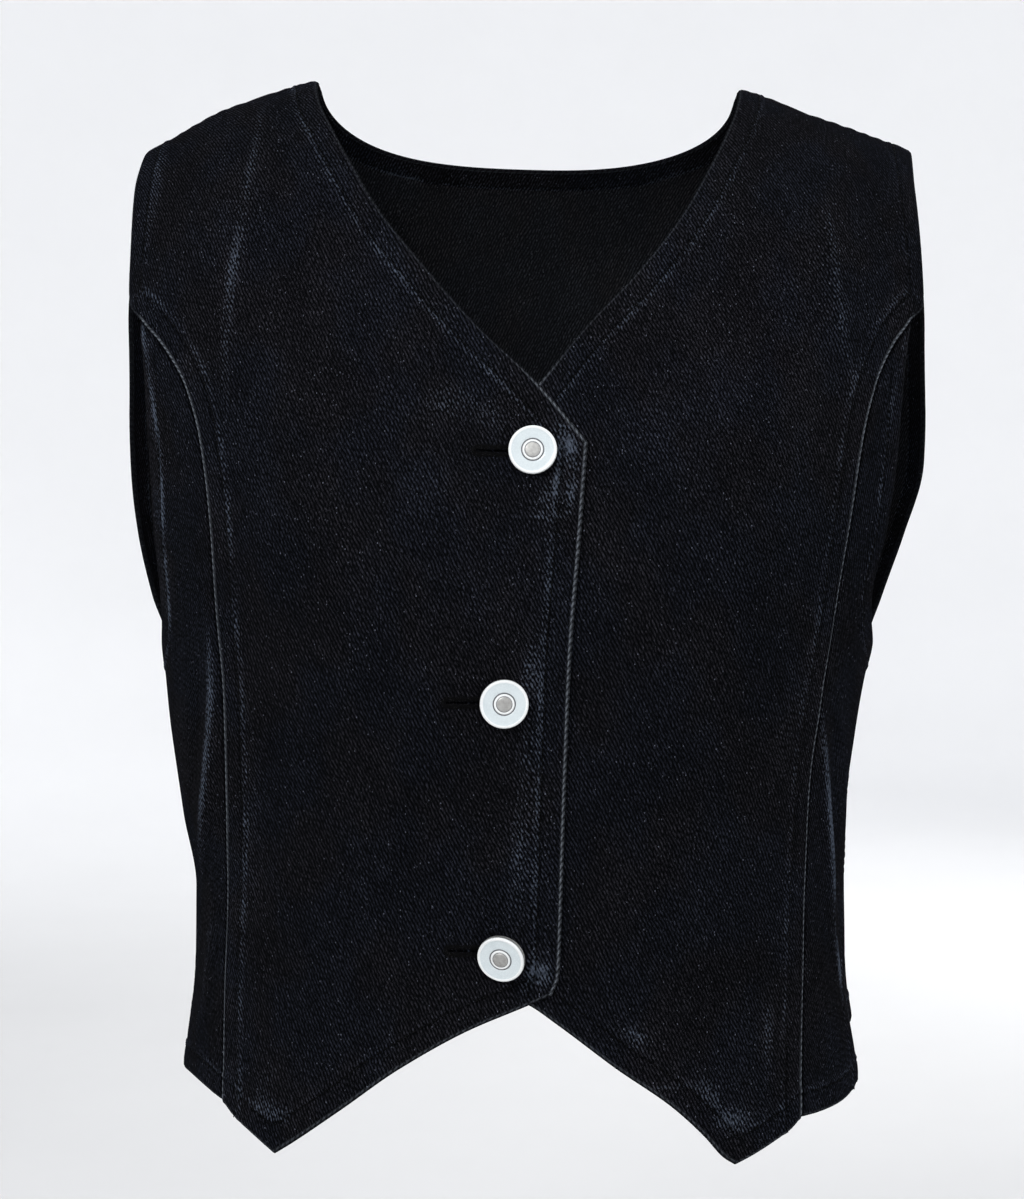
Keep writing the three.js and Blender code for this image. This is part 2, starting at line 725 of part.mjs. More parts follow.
// The cap with its shank: enamelled face, raised rim, sunk ring and centre disc. The shank stands
// straight in the buttonhole and the cap tips over it.
function buttonCap(button) {
  const rim = LAP_LIFT + button.standoff;
  const face = rim + CAP_SKIRT;
  const profile = [
    [0, SHANK_FOOT],
    [SHANK_RADIUS, SHANK_FOOT],
    [SHANK_RADIUS, TIP_HEIGHT],
    ...CAP_UNDERSIDE.map(({ radius, over }) => [radius, rim + over]),
    ...CAP_FACE.map(({ radius, over }) => [radius, face + over]),
  ];
  const cap = turned(profile);
  const across = new THREE.Matrix4().makeRotationY(degToRad(button.tipAcross));
  const tip = across.multiply(new THREE.Matrix4().makeRotationX(degToRad(button.tipDown)));
  const corners = cap.attributes.position;
  const corner = new THREE.Vector3();
  for (let i = 0; i < corners.count; i++) {
    corner.fromBufferAttribute(corners, i);
    if (corner.z < TIP_HEIGHT + ROUNDING) continue;
    corner.z -= TIP_HEIGHT;
    corner.applyMatrix4(tip);
    corners.setXYZ(i, corner.x, corner.y, corner.z + TIP_HEIGHT);
  }
  cap.computeVertexNormals();
  return atButton(cap, button);
}

// The tack on the inside: a flat head against the cloth and a pin up into the shank.
function buttonTack(button) {
  const inside = -CLOTH - SEAM_GAP;
  const profile = [
    [0, inside - TACK_HEAD],
    [TACK_HEAD_RADIUS - TACK_HEAD_ROUNDING, inside - TACK_HEAD],
    [TACK_HEAD_RADIUS, inside - TACK_HEAD + TACK_HEAD_ROUNDING],
    [TACK_HEAD_RADIUS, inside],
    [TACK_PIN_RADIUS, inside],
    [TACK_PIN_RADIUS, 0],
    [0, 0],
  ];
  return atButton(turned(profile), button);
}

function named(name, geometry, look) {
  const mesh = new THREE.Mesh(geometry, new THREE.MeshStandardMaterial(look));
  mesh.name = name;
  return mesh;
}

const vest = new THREE.Group();

const rightFront = clothWall(insetBorder(frontGrid("right"), ["end", "top"]));
const leftFront = clothWall(insetBorder(frontGrid("left"), ["end", "top"]));
vest.add(named("front_right", cutAway(rightFront, BUTTONS.map(keyhole)), DENIM));
vest.add(named("front_left", cutAway(leftFront, BUTTONS.map(tackHole)), DENIM));
for (const side of ["right", "left"])
  vest.add(named("side_" + side, clothWall(insetBorder(sideGrid(side), ["start", "end"])), DENIM));
vest.add(named("back", clothWall(insetBorder(backGrid(), ["start", "end", "top"])), DENIM));

for (const button of BUTTONS) {
  vest.add(named("button_" + button.name, buttonCap(button), ENAMEL));
  vest.add(named("tack_" + button.name, buttonTack(button), NICKEL));
}

export default vest;
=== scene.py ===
"""Looks of a fitted denim vest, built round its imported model.

Five cloth panels with turned edges, sewn seams, creases and wear, their seam allowances and stitches,
three keyhole buttonholes and three enamelled tack buttons. Tables and shapes are in millimetres, and
every mesh is written in metres, +Z up, front towards -Y, the wearer's left at +X.
"""

from __future__ import annotations

import logging
import math
from dataclasses import dataclass, field
from enum import Enum
from typing import Callable, ClassVar, NamedTuple, Sequence

import bmesh
import bpy
import numpy as np
from mathutils import Matrix, Vector


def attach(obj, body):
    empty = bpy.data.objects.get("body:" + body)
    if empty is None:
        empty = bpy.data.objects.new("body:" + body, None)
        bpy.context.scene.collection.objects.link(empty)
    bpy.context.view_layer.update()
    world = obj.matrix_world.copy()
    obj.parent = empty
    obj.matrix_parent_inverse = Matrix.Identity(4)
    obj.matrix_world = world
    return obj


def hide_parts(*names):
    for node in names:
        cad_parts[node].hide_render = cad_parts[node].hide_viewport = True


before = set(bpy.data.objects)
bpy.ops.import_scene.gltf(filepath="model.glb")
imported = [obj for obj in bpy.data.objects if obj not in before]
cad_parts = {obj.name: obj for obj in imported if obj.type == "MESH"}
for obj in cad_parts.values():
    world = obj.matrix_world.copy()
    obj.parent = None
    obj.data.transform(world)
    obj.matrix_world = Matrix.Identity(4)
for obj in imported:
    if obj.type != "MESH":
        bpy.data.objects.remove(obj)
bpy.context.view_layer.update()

log = logging.getLogger("vest")
Array = np.ndarray
Edge = Callable[[Array], Array]
Colour = tuple[float, float, float, float]
Piece = bpy.types.Object
Mesh = bpy.types.Mesh
Material = bpy.types.Material
Node = bpy.types.Node
Socket = bpy.types.NodeSocket

MM = 0.001
CLOTH_UV = "cloth"
SEAM_GAP = 0.3
CLOTH = 1.15  # thickness of one layer of denim
TURN_IN = 9.6  # width of the turned edges
STITCH_IN = 8.4  # from a turned edge to its row of stitches
ALLOWANCE = 10.5  # width of a seam allowance
LAP_LIFT = 2.3
LAP_FROM = -66.0
LAP_FULL = -38.0
EDGE_SLACK = 1e-6  # a share this near a span's end still lies on it


class Level(NamedTuple):
    """Half-widths and depths of the worn form at one height."""

    z: float
    right_front: float
    left_front: float
    right_back: float
    left_back: float
    chest: float
    back: float


LEVELS = (
    Level(40, 169, 169, 158, 158, 44, 74),
    Level(0, 169, 169, 160, 160, 46, 76),
    Level(-44, 169, 169, 163, 163, 62, 80),
    Level(-95, 169, 169, 172, 172, 84, 86),
    Level(-126, 164.5, 164.5, 172, 172, 96, 88),
    Level(-150, 161, 161, 171, 171, 103, 88),
    Level(-180, 156, 153, 164, 159, 108.5, 85),
    Level(-205, 150.5, 142.5, 155.5, 147, 110, 80),
    Level(-226, 145.3, 136.5, 146, 137, 109.5, 74),
    Level(-259, 142.4, 130.5, 142.4, 130.5, 107, 63),
    Level(-291, 138.2, 126.4, 138.2, 127, 103.5, 58),
    Level(-320, 132.7, 125.6, 132.7, 126.6, 101.5, 60),
    Level(-355, 133.4, 125.4, 133.4, 129.7, 101, 68),
    Level(-390, 137, 130.4, 137, 132.4, 102.5, 77),
    Level(-430, 139, 133, 139, 135, 104, 84),
)


class Place(NamedTuple):
    """A point of an edge as it shows from the front."""

    x: float
    z: float


class Scoop(NamedTuple):
    """A point of an armhole along the top of a side-front panel."""

    share: float
    z: float
    turn: float


class Shoulder(NamedTuple):
    """Height of both shoulder lines at one distance from the centre."""

    x: float
    right: float
    left: float


SHOULDER_LINE = (
    Shoulder(85, 2.4, -1.5),
    Shoulder(98, -0.9, -4.8),
    Shoulder(112, -5.4, -10.2),
    Shoulder(123, -9.2, -13.8),
    Shoulder(135, -15.6, -18.2),
    Shoulder(147, -22.8, -22.9),
    Shoulder(155, -27, -26.2),
)


def places(*pairs: tuple[float, float]) -> tuple[Place, ...]:
    """Returns pairs of x and z as places."""
    return tuple(Place(*pair) for pair in pairs)


class Side(Enum):
    """A side of the wearer, with the sign of its x."""

    RIGHT = -1
    LEFT = 1

    @property
    def word(self) -> str:
        """Returns the side's name as node names have it."""
        return self.name.lower()


class Border(Enum):
    """The four borders of a panel's grid."""

    START = "start"
    END = "end"
    BOTTOM = "bottom"
    TOP = "top"


class Finish(Enum):
    """How the cloth ends along a border."""

    TURNED = "turned in and stitched down"
    LAPPED = "folded over the next panel in a seam"
    TUCKED = "caught under the next panel in a seam"


@dataclass(frozen=True)
class FrontCut:
    """The edges of one front as it is cut: tables run from the hem up, or out from the front edge."""

    edge: tuple[Place, ...]
    neckline: tuple[Place, ...]
    princess: tuple[Place, ...]
    armhole: tuple[Place, ...]
    hem: tuple[Place, ...]
    rise: tuple[Place, ...]
    scoop: tuple[Scoop, ...]


FRONTS = {
    Side.RIGHT: FrontCut(
        edge=places(
            (7.5, -347.8), (10, -341), (11, -314), (12.3, -271), (14, -228), (17.4, -186), (20.1, -151.8),
        ),
        neckline=places(
            (20.1, -151.8), (2.5, -130.5), (-18.8, -109.4), (-38.4, -86), (-56.1, -61.7), (-65.9, -44.4),
            (-76, -24.9), (-83, -8.5), (-85, 2.4),
        ),
        princess=places(
            (-115.3, -394.5), (-114.4, -350), (-112.6, -281), (-112.7, -244), (-114.9, -211), (-117.2, -178),
            (-121.6, -148), (-128, -128), (-137.1, -113), (-148.4, -100),
        ),
        armhole=places(
            (-148.4, -100), (-153.2, -94.5), (-154.8, -88), (-155.3, -78), (-156, -46), (-154, -26.6),
        ),
        hem=places(
            (7.5, -347.8), (-1, -351.5), (-23, -361), (-48, -375.7), (-69, -391.2), (-87.3, -404.8),
            (-93.9, -409.4),
        ),
        rise=places((-93.9, -409.4), (-101.9, -404.5), (-109.5, -399.8), (-115.3, -394.5)),
        scoop=(
            Scoop(0, -100, 59.3), Scoop(0.06, -112, 59.6), Scoop(0.12, -134, 60.8), Scoop(0.18, -157, 62),
            Scoop(0.26, -182, 64.3), Scoop(0.37, -203, 67), Scoop(0.55, -217, 73), Scoop(0.78, -224.5, 82),
            Scoop(1, -226, 90),
        ),
    ),
    Side.LEFT: FrontCut(
        edge=places((-31, -341), (-32, -300), (-31, -244), (-24, -190), (-15.5, -150)),
        neckline=places(
            (-15.5, -150), (2.5, -130.5), (19.2, -109.4), (40.1, -86), (58, -61.7), (67.7, -44.3),
            (75.6, -28.4), (82.4, -12), (85, -1.5),
        ),
        princess=places(
            (100.7, -398.3), (102.3, -341), (103.7, -281), (106.5, -251), (111, -222), (115.7, -189),
            (121.8, -154), (129.3, -127), (136.9, -112), (146, -100),
        ),
        armhole=places((146, -100), (150.8, -95.5), (152.2, -88), (152.8, -46), (154.5, -26)),
        hem=places(
            (-31, -341), (-18, -345.5), (-1, -351.5), (9.6, -358.6), (30.7, -374.4), (50.9, -388.7),
            (63, -400), (70.5, -408.5), (74.6, -411.3),
        ),
        rise=places((74.6, -411.3), (80.3, -409.2), (89.3, -405.3), (96.1, -402), (100.7, -398.3)),
        scoop=(
            Scoop(0, -100, 57.4), Scoop(0.06, -110, 56.8), Scoop(0.12, -132, 56.8), Scoop(0.18, -155, 57.4),
            Scoop(0.26, -180, 59), Scoop(0.37, -201, 62.5), Scoop(0.55, -216, 70), Scoop(0.78, -224, 81),
            Scoop(1, -226, 90),
        ),
    ),
}


class SeamLevel(NamedTuple):
    """Section angles of the side seams, or of the back half of the armholes, at one height."""

    z: float
    right: float
    left: float


SIDE_SEAMS = (
    SeamLevel(-397, 90, 77),
    SeamLevel(-375, 90, 79),
    SeamLevel(-340, 90, 83),
    SeamLevel(-300, 90, 87),
    SeamLevel(-255, 90, 90),
    SeamLevel(-226, 90, 90),
)
BACK_ARMHOLE = (
    SeamLevel(-226, 90, 90),
    SeamLevel(-215, 94.5, 94.5),
    SeamLevel(-200, 98, 98),
    SeamLevel(-180, 101, 101),
    SeamLevel(-150, 105, 105),
    SeamLevel(-95, 105.5, 105.5),
    SeamLevel(-60, 103.5, 103.5),
    SeamLevel(-26.3, 109, 109),
)
SIDE_HEM_Z = -395.5
SIDE_HEM_DIP = {Side.RIGHT: 5.2, Side.LEFT: -1.0}
UNDERARM_Z = -226.0
BACK_HEM_SAG = 6.0


class Half(Enum):
    """The half of the form that folds and creases are drawn on."""

    FRONT = "front"
    BACK = "back"


class Fold(NamedTuple):
    """A ridge in the cloth where height is over 0, or a trough where it is under 0."""

    from_x: float
    from_z: float
    to_x: float
    to_z: float
    height: float
    width: float


FOLDS = {
    Half.FRONT: (
        Fold(-101, -18, -107, -75, 1.5, 9),
        Fold(-107, -75, -107, -132, 1.2, 11),
        Fold(-142, -40, -147, -72, -0.9, 8),
        Fold(113, -60, 118.5, -127, 1.6, 9),
        Fold(-30, -196, -96, -232, -0.9, 12),
        Fold(34, -190, 96, -226, -1, 12),
        Fold(-24, -262, -98, -286, -1.1, 13),
        Fold(20, -258, 92, -276, 1, 12),
        Fold(24, -300, 90, -322, -0.9, 14),
    ),
    Half.BACK: (
        Fold(-96, -62, -128, -150, 1.5, 12),
        Fold(92, -58, 131, -142, 1.4, 12),
        Fold(-112, -268, -30, -286, -1.3, 13),
        Fold(24, -262, 108, -276, -1.2, 12),
        Fold(-92, -300, -14, -312, 1.1, 13),
        Fold(10, -306, 88, -322, 1, 14),
    ),
}
FOLD_END = 0.45


class Crease(NamedTuple):
    """A small crease over the folds, bowed to one side, with the wear on its crest."""

    from_x: float
    from_z: float
    to_x: float
    to_z: float
    bow: float
    height: float
    width: float
    wear: float


CREASES = {
    Half.FRONT: (
        # shoulders and straps
        Crease(-105, -8, -108.5, -62, 2, 0.8, 3.8, 0.26),
        Crease(-107, -56, -110, -144, -2, 0.8, 4.6, 0.35),
        Crease(-143, -22, -147, -66, 2, 0.5, 4, 0.25),
        Crease(113, -56, 114, -94, 0, 0.7, 3, 0.3),
        Crease(113.8, -86, 118.5, -128, -1, 0.8, 3.6, 0.3),
        Crease(99, -30, 104, -66, 2, -0.5, 5, 0),
        # side-front panels
        Crease(-118.7, -214, -126.5, -312, 9, 1.7, 4.9, 0.68),
        Crease(-125, -228, -131, -300, 6, -1.3, 5, 0),
        Crease(-120, -318, -127, -372, 2, 0.9, 5, 0.25),
        Crease(106.8, -246, 116.6, -338, 2, 1.9, 4.8, 0.85),
        Crease(116, -332, 121.9, -362, -1, 1.2, 4.4, 0.8),
        Crease(113.5, -250, 121.6, -344, 2, -1.7, 5.2, 0),
        Crease(121, -262, 124.5, -306, 0, 0.9, 4.6, 0.2),
        # body of the fronts
        Crease(-92, -176, -113, -158, 2, -0.6, 6, 0),
        Crease(86, -170, 112, -150, -2, -0.6, 6, 0),
        Crease(-62, -262, -104, -270, 3, 0.5, 6, 0.08),
        Crease(52, -284, 98, -296, -3, 0.55, 6, 0.08),
        Crease(-40, -318, -88, -340, 4, -0.5, 7, 0),
        Crease(36, -330, 84, -352, -4, -0.5, 7, 0),
        Crease(20, -150, 52, -128, 3, -0.5, 7, 0),
    ),
    Half.BACK: (
        Crease(-118, -70, -136, -168, 5, 0.9, 5.5, 0.3),
        Crease(112, -64, 138, -158, -5, 0.9, 5.5, 0.3),
        Crease(-100, -96, -124, -196, 6, -0.8, 6, 0),
        Crease(96, -104, 118, -206, -7, -0.8, 6, 0),
        Crease(-128, -248, -58, -264, -4, 1.1, 5.5, 0.25),
        Crease(-122, -264, -70, -284, 4, -1.0, 6, 0),
        Crease(118, -240, 66, -262, 5, 1.0, 5.5, 0.25),
        Crease(116, -262, 44, -288, -5, 1.1, 6, 0.2),
        Crease(-60, -296, 22, -302, 4, 0.9, 6.5, 0.14),
        Crease(-24, -276, 46, -268, 3, -0.8, 7, 0),
        Crease(-112, -318, -60, -336, 4, 0.8, 6, 0.12),
        Crease(108, -322, 52, -334, -4, 0.8, 6.5, 0.12),
        Crease(-44, -40, -10, -58, 5, 0.5, 7, 0.05),
        Crease(50, -44, 12, -62, -5, 0.5, 7, 0.05),
    ),
}


class Patch(NamedTuple):
    """A washed-out patch of the fronts, or a patch of painted light: a soft ellipse leaning by an angle."""

    x: float
    z: float
    long: float
    short: float
    lean: float
    wear: float


WORN_AND_LIT_PATCHES = (
    Patch(-95, -394.5, 7, 3.5, -20, 0.6),
    Patch(-96, -383, 10, 3.5, 70, 0.22),
    Patch(74, -395.5, 6.5, 4.2, 0, 0.6),
    Patch(65, -385.5, 6, 3, -60, 0.5),
    Patch(38, -363, 6, 3, -35, 0.42),
    Patch(3.5, -340, 5, 4, -50, 0.5),
    Patch(87.5, -366, 16, 2.5, 88, 0.34),
    Patch(-2, -118, 9, 5, -50, 0.1),
    Patch(13.9, -152.8, 3.6, 2.4, -60, 0.5),
    Patch(12, -146, 7, 3, -50, 0.16),
    Patch(6.2, -170.5, 6.5, 3.4, 70, 0.5),
    Patch(14.3, -170, 6, 2, 82, 0.42),
    Patch(6, -177.5, 6, 1.4, 4, 0.3),
    Patch(5, -190, 14, 5, 80, 0.2),
    Patch(0, -232, 14, 3.5, 85, 0.36),
    Patch(-1, -262, 12, 4, 85, 0.3),
    Patch(-4, -300, 26, 4, 86, 0.32),
    Patch(-18, -140, 15, 7, -20, 0.24),
    Patch(-33, -137, 10, 7, 30, 0.16),
    Patch(26, -200, 22, 7, 85, 0.1),
    Patch(-34, -166, 16, 12, 20, 0.14),
    Patch(-28, -206, 18, 13, -20, 0.12),
    Patch(46, -150, 20, 16, 10, 0.1),
    # These two large faint patches are painted light: they make the upper chest paler, as light from above
    # does.
    Patch(-72, -112, 70, 42, 85, 0.07),
    Patch(74, -112, 70, 42, 95, 0.09),
    Patch(48, -382, 24, 1.3, 0, 0.2),
    Patch(-112, -60, 30, 12, 85, 0.14),
    Patch(112, -92, 28, 12, 85, 0.12),
    Patch(96, -246, 30, 5, 80, 0.16),
    Patch(-102, -300, 60, 4, 88, 0.14),
)


def smoothstep(value: Array, low: float, high: float) -> Array:
    """Returns 0 under low, 1 over high and a smooth rise between them."""
    share = np.clip((value - low) / (high - low), 0, 1)
    return share * share * (3 - 2 * share)


def bell(value: Array, centre: float, width: float) -> Array:
    """Returns a soft peak of height 1 about a centre."""
    return np.exp(-(((value - centre) / width) ** 2))


def mix(low: Array | float, high: Array | float, share: Array | float) -> Array:
    """Returns the value between low and high at a share."""
    return low + (high - low) * share


class Smooth:
    """A smooth curve through the rows of a table that never overshoots them."""

    def __init__(self, keys: Sequence[float], values: Sequence[float]) -> None:
        """Works out the slopes.

        Args:
            keys: the places of the table's rows, in any order.
            values: the values there.
        """
        order = np.argsort(keys)
        self.keys = np.asarray(keys, float)[order]
        self.values = np.asarray(values, float)[order]
        rates = np.diff(self.values) / np.diff(self.keys)
        slopes = np.concatenate([rates[:1], rates[1:], rates[-1:]])
        product = rates[:-1] * rates[1:]
        total = rates[:-1] + rates[1:]
        slopes[1:-1] = np.where(product > 0, 2 * product / np.where(total == 0, 1, total), 0)
        self.slopes = slopes

    @classmethod
    def through(cls, rows: Sequence[NamedTuple], key: str, value: str) -> Smooth:
        """Returns the curve from one column of a table to another."""
        return cls([getattr(row, key) for row in rows], [getattr(row, value) for row in rows])

    def __call__(self, at: Array) -> Array:
        """Returns the curve's values at some keys.

        Args:
            at: the keys.

        Returns:
            A value for each key.
        """
        at = np.clip(np.asarray(at, float), self.keys[0], self.keys[-1])
        i = np.clip(np.searchsorted(self.keys, at) - 1, 0, len(self.keys) - 2)
        span = self.keys[i + 1] - self.keys[i]
        t = (at - self.keys[i]) / span
        return (
            self.values[i] * (1 + 2 * t) * (1 - t) ** 2
            + self.slopes[i] * span * t * (1 - t) ** 2
            + self.values[i + 1] * t * t * (3 - 2 * t)
            + self.slopes[i + 1] * span * t * t * (t - 1)
        )


@dataclass(frozen=True)
class Bust:
    """The swell of the bust over the chest, on each side."""

    x: float = 80.0
    z: float = -178.0
    width: float = 42.0
    height: float = 48.0
    rise: float = 11.0


@dataclass(eq=False)
class WornForm:
    """The hollow shape that the vest has when it is worn.

    A place on it is a section angle and a height. Angle 0 is the centre front and 180 the centre back,
    and angles under 0 are on the wearer's right.
    """

    power: float = 2.35
    side_blend: tuple[float, float] = (77.0, 96.0)
    bust: Bust = Bust()
    shoulder_drop: float = 75.0
    neck_point: float = 85.0

    def __post_init__(self) -> None:
        """Reads the tables and measures the girth at every height."""
        self.section = {name: Smooth.through(LEVELS, "z", name) for name in Level._fields if name != "z"}
        self.shoulder = {side: Smooth.through(SHOULDER_LINE, "x", side.word) for side in Side}
        self._angles = np.arange(0.0, 181.0)
        self._heights = np.arange(-432.0, 44.0, 4.0)
        turn, z = np.meshgrid(self._angles, self._heights)
        self._runs = {}
        for side in Side:
            plan = self.point(turn * side.value, z)[..., :2]
            lengths = np.linalg.norm(np.diff(plan, axis=1), axis=2)
            self._runs[side] = np.concatenate([np.zeros((len(z), 1)), np.cumsum(lengths, axis=1)], axis=1)

    @staticmethod
    def by_side(sign: Array, right: Array, left: Array) -> Array:
        """Returns the right side's values where sign is under 0, and the left side's elsewhere."""
        return np.where(sign < 0, right, left)

    def shoulder_top(self, x: Array) -> Array:
        """Returns the height of the shoulder line over some places.

        Args:
            x: distances from the centre.

        Returns:
            Heights. Between the neck points they lie on one straight line.
        """
        out = np.abs(x)
        right, left = self.shoulder[Side.RIGHT], self.shoulder[Side.LEFT]
        across = np.clip((x + self.neck_point) / (2 * self.neck_point), 0, 1)
        middle = mix(right(self.neck_point), left(self.neck_point), across)
        return np.where(out >= self.neck_point, self.by_side(x, right(out), left(out)), middle)

    def half_width(self, turn: Array, z: Array) -> Array:
        """Returns the half-width of the form at some places.

        Args:
            turn: signed section angles.
            z: heights.

        Returns:
            Distances from the middle, on the side of each place.
        """
        front = self.by_side(turn, self.section["right_front"](z), self.section["left_front"](z))
        back = self.by_side(turn, self.section["right_back"](z), self.section["left_back"](z))
        return mix(front, back, smoothstep(np.abs(turn), *self.side_blend))

    def turn_at(self, x: Array, z: Array, half: Half) -> Array:
        """Returns the signed section angle of a point on one half, from its place seen from the front.

        Args:
            x: distances from the centre.
            z: heights.
            half: the half that the point is on.

        Returns:
            Angles under 0 on the wearer's right.
        """
        x, z = np.asarray(x, float), np.asarray(z, float)
        names = ("right_front", "left_front") if half is Half.FRONT else ("right_back", "left_back")
        width = self.by_side(x, self.section[names[0]](z), self.section[names[1]](z))
        turn = np.degrees(np.arcsin(np.minimum(1, (np.abs(x) / width) ** (self.power / 2))))
        turn = turn if half is Half.FRONT else 180 - turn
        return np.where(x < 0, -turn, turn)

    def point(self, turn: Array, z: Array) -> Array:
        """Returns the points of the form at some places.

        Args:
            turn: signed section angles.
            z: heights.

        Returns:
            Points in millimetres.
        """
        turn, z = np.broadcast_arrays(np.asarray(turn, float), np.asarray(z, float))
        around = np.radians(np.abs(turn))
        x = np.sign(turn) * self.half_width(turn, z) * np.sin(around) ** (2 / self.power)
        reach = np.abs(np.cos(around)) ** (2 / self.power)
        roll = np.sqrt(1 - (1 - self.fall(x, z)) ** 2)
        bust = self.bust
        off = ((np.abs(x) - bust.x) / bust.width) ** 2 + ((z - bust.z) / bust.height) ** 2
        chest = self.section["chest"](z) + bust.rise * np.exp(-off / 2)
        y = np.where(np.abs(turn) > 90, self.section["back"](z), -chest) * reach * roll
        return np.stack([x, y, z], axis=-1)

    def fall(self, x: Array, z: Array) -> Array:
        """Returns how far under the shoulder line a point is, from 0 to 1 where the form stands upright."""
        return np.clip((self.shoulder_top(x) - z) / self.shoulder_drop, 0, 1)

    def normal(self, turn: Array, z: Array) -> Array:
        """Returns the outward directions at some places.

        Args:
            turn: signed section angles.
            z: heights.

        Returns:
            Directions of length 1.
        """
        step = 0.4
        past, before = turn + step, turn - step
        past = np.where(past > 180, past - 360, past)
        before = np.where(before < -180, before + 360, before)
        around = self.point(past, z) - self.point(before, z)
        up = self.point(turn, z + step) - self.point(turn, z - step)
        out = np.cross(around, up)
        on_shoulder = np.abs(self.point(turn, z)[..., 1]) < 1
        out[..., 1] = np.where(on_shoulder, 0, out[..., 1])
        return out / np.maximum(np.linalg.norm(out, axis=-1, keepdims=True), 1e-9)

    def run(self, turn: Array, z: Array) -> Array:
        """Returns the signed distance round the form from the centre front.

        Args:
            turn: signed section angles.
            z: heights.

        Returns:
            Distances under 0 on the wearer's right.
        """
        level = np.clip((z - self._heights[0]) / 4, 0, len(self._heights) - 1.001)
        angle = np.clip(np.abs(turn), 0, 179.999)
        r, c = level.astype(int), angle.astype(int)
        down, over = level - r, angle - c
        sides = []
        for side in Side:
            grid = self._runs[side]
            low = mix(grid[r, c], grid[r, c + 1], over)
            high = mix(grid[r + 1, c], grid[r + 1, c + 1], over)
            sides.append(mix(low, high, down))
        return np.where(turn < 0, -1, 1) * self.by_side(turn, *sides)

    def across(self, turn: Array, z: Array, half: Half) -> Array:
        """Returns the distance round the form from the middle of one half.

        Args:
            turn: signed section angles.
            z: heights.
            half: the half that the places are on.

        Returns:
            Distances, which grow to the right seen from outside.
        """
        run = self.run(turn, z)
        if half is Half.FRONT:
            return run
        whole = self.run(np.where(turn < 0, -180.0, 180.0), z)
        return run - whole

    def rise(self, turn: Array, z: Array) -> Array:
        """Returns the height of some places along the cloth.

        Args:
            turn: signed section angles.
            z: heights.

        Returns:
            Heights, which go on over the shoulder's roll.
        """
        x = self.point(turn, z)[..., 0]
        lean = np.arcsin(1 - self.fall(x, z))
        rolled = self.shoulder_top(x) - self.shoulder_drop * (1 - lean)
        return np.where(lean > 0, rolled, z)


@dataclass(eq=False)
class Ripples:
    """Uneven soft waves over the cloth: a sum of plane waves with fixed random directions."""

    seed: int
    scale: float
    count: int = 14

    def __post_init__(self) -> None:
        """Draws the waves."""
        dice = np.random.default_rng(self.seed)
        angle = dice.uniform(0, 2 * math.pi, self.count)
        pitch = 2 * math.pi / (self.scale * dice.uniform(0.6, 1.7, self.count))
        self.wave = np.stack([np.cos(angle) * pitch, np.sin(angle) * pitch], axis=-1)
        self.phase = dice.uniform(0, 2 * math.pi, self.count)

    def __call__(self, run: Array, rise: Array) -> Array:
        """Returns waves of about -1 to 1 at some places of the cloth."""
        place = np.stack([run, rise], axis=-1)
        return np.sin(place @ self.wave.T + self.phase).sum(axis=-1) / math.sqrt(len(self.phase))


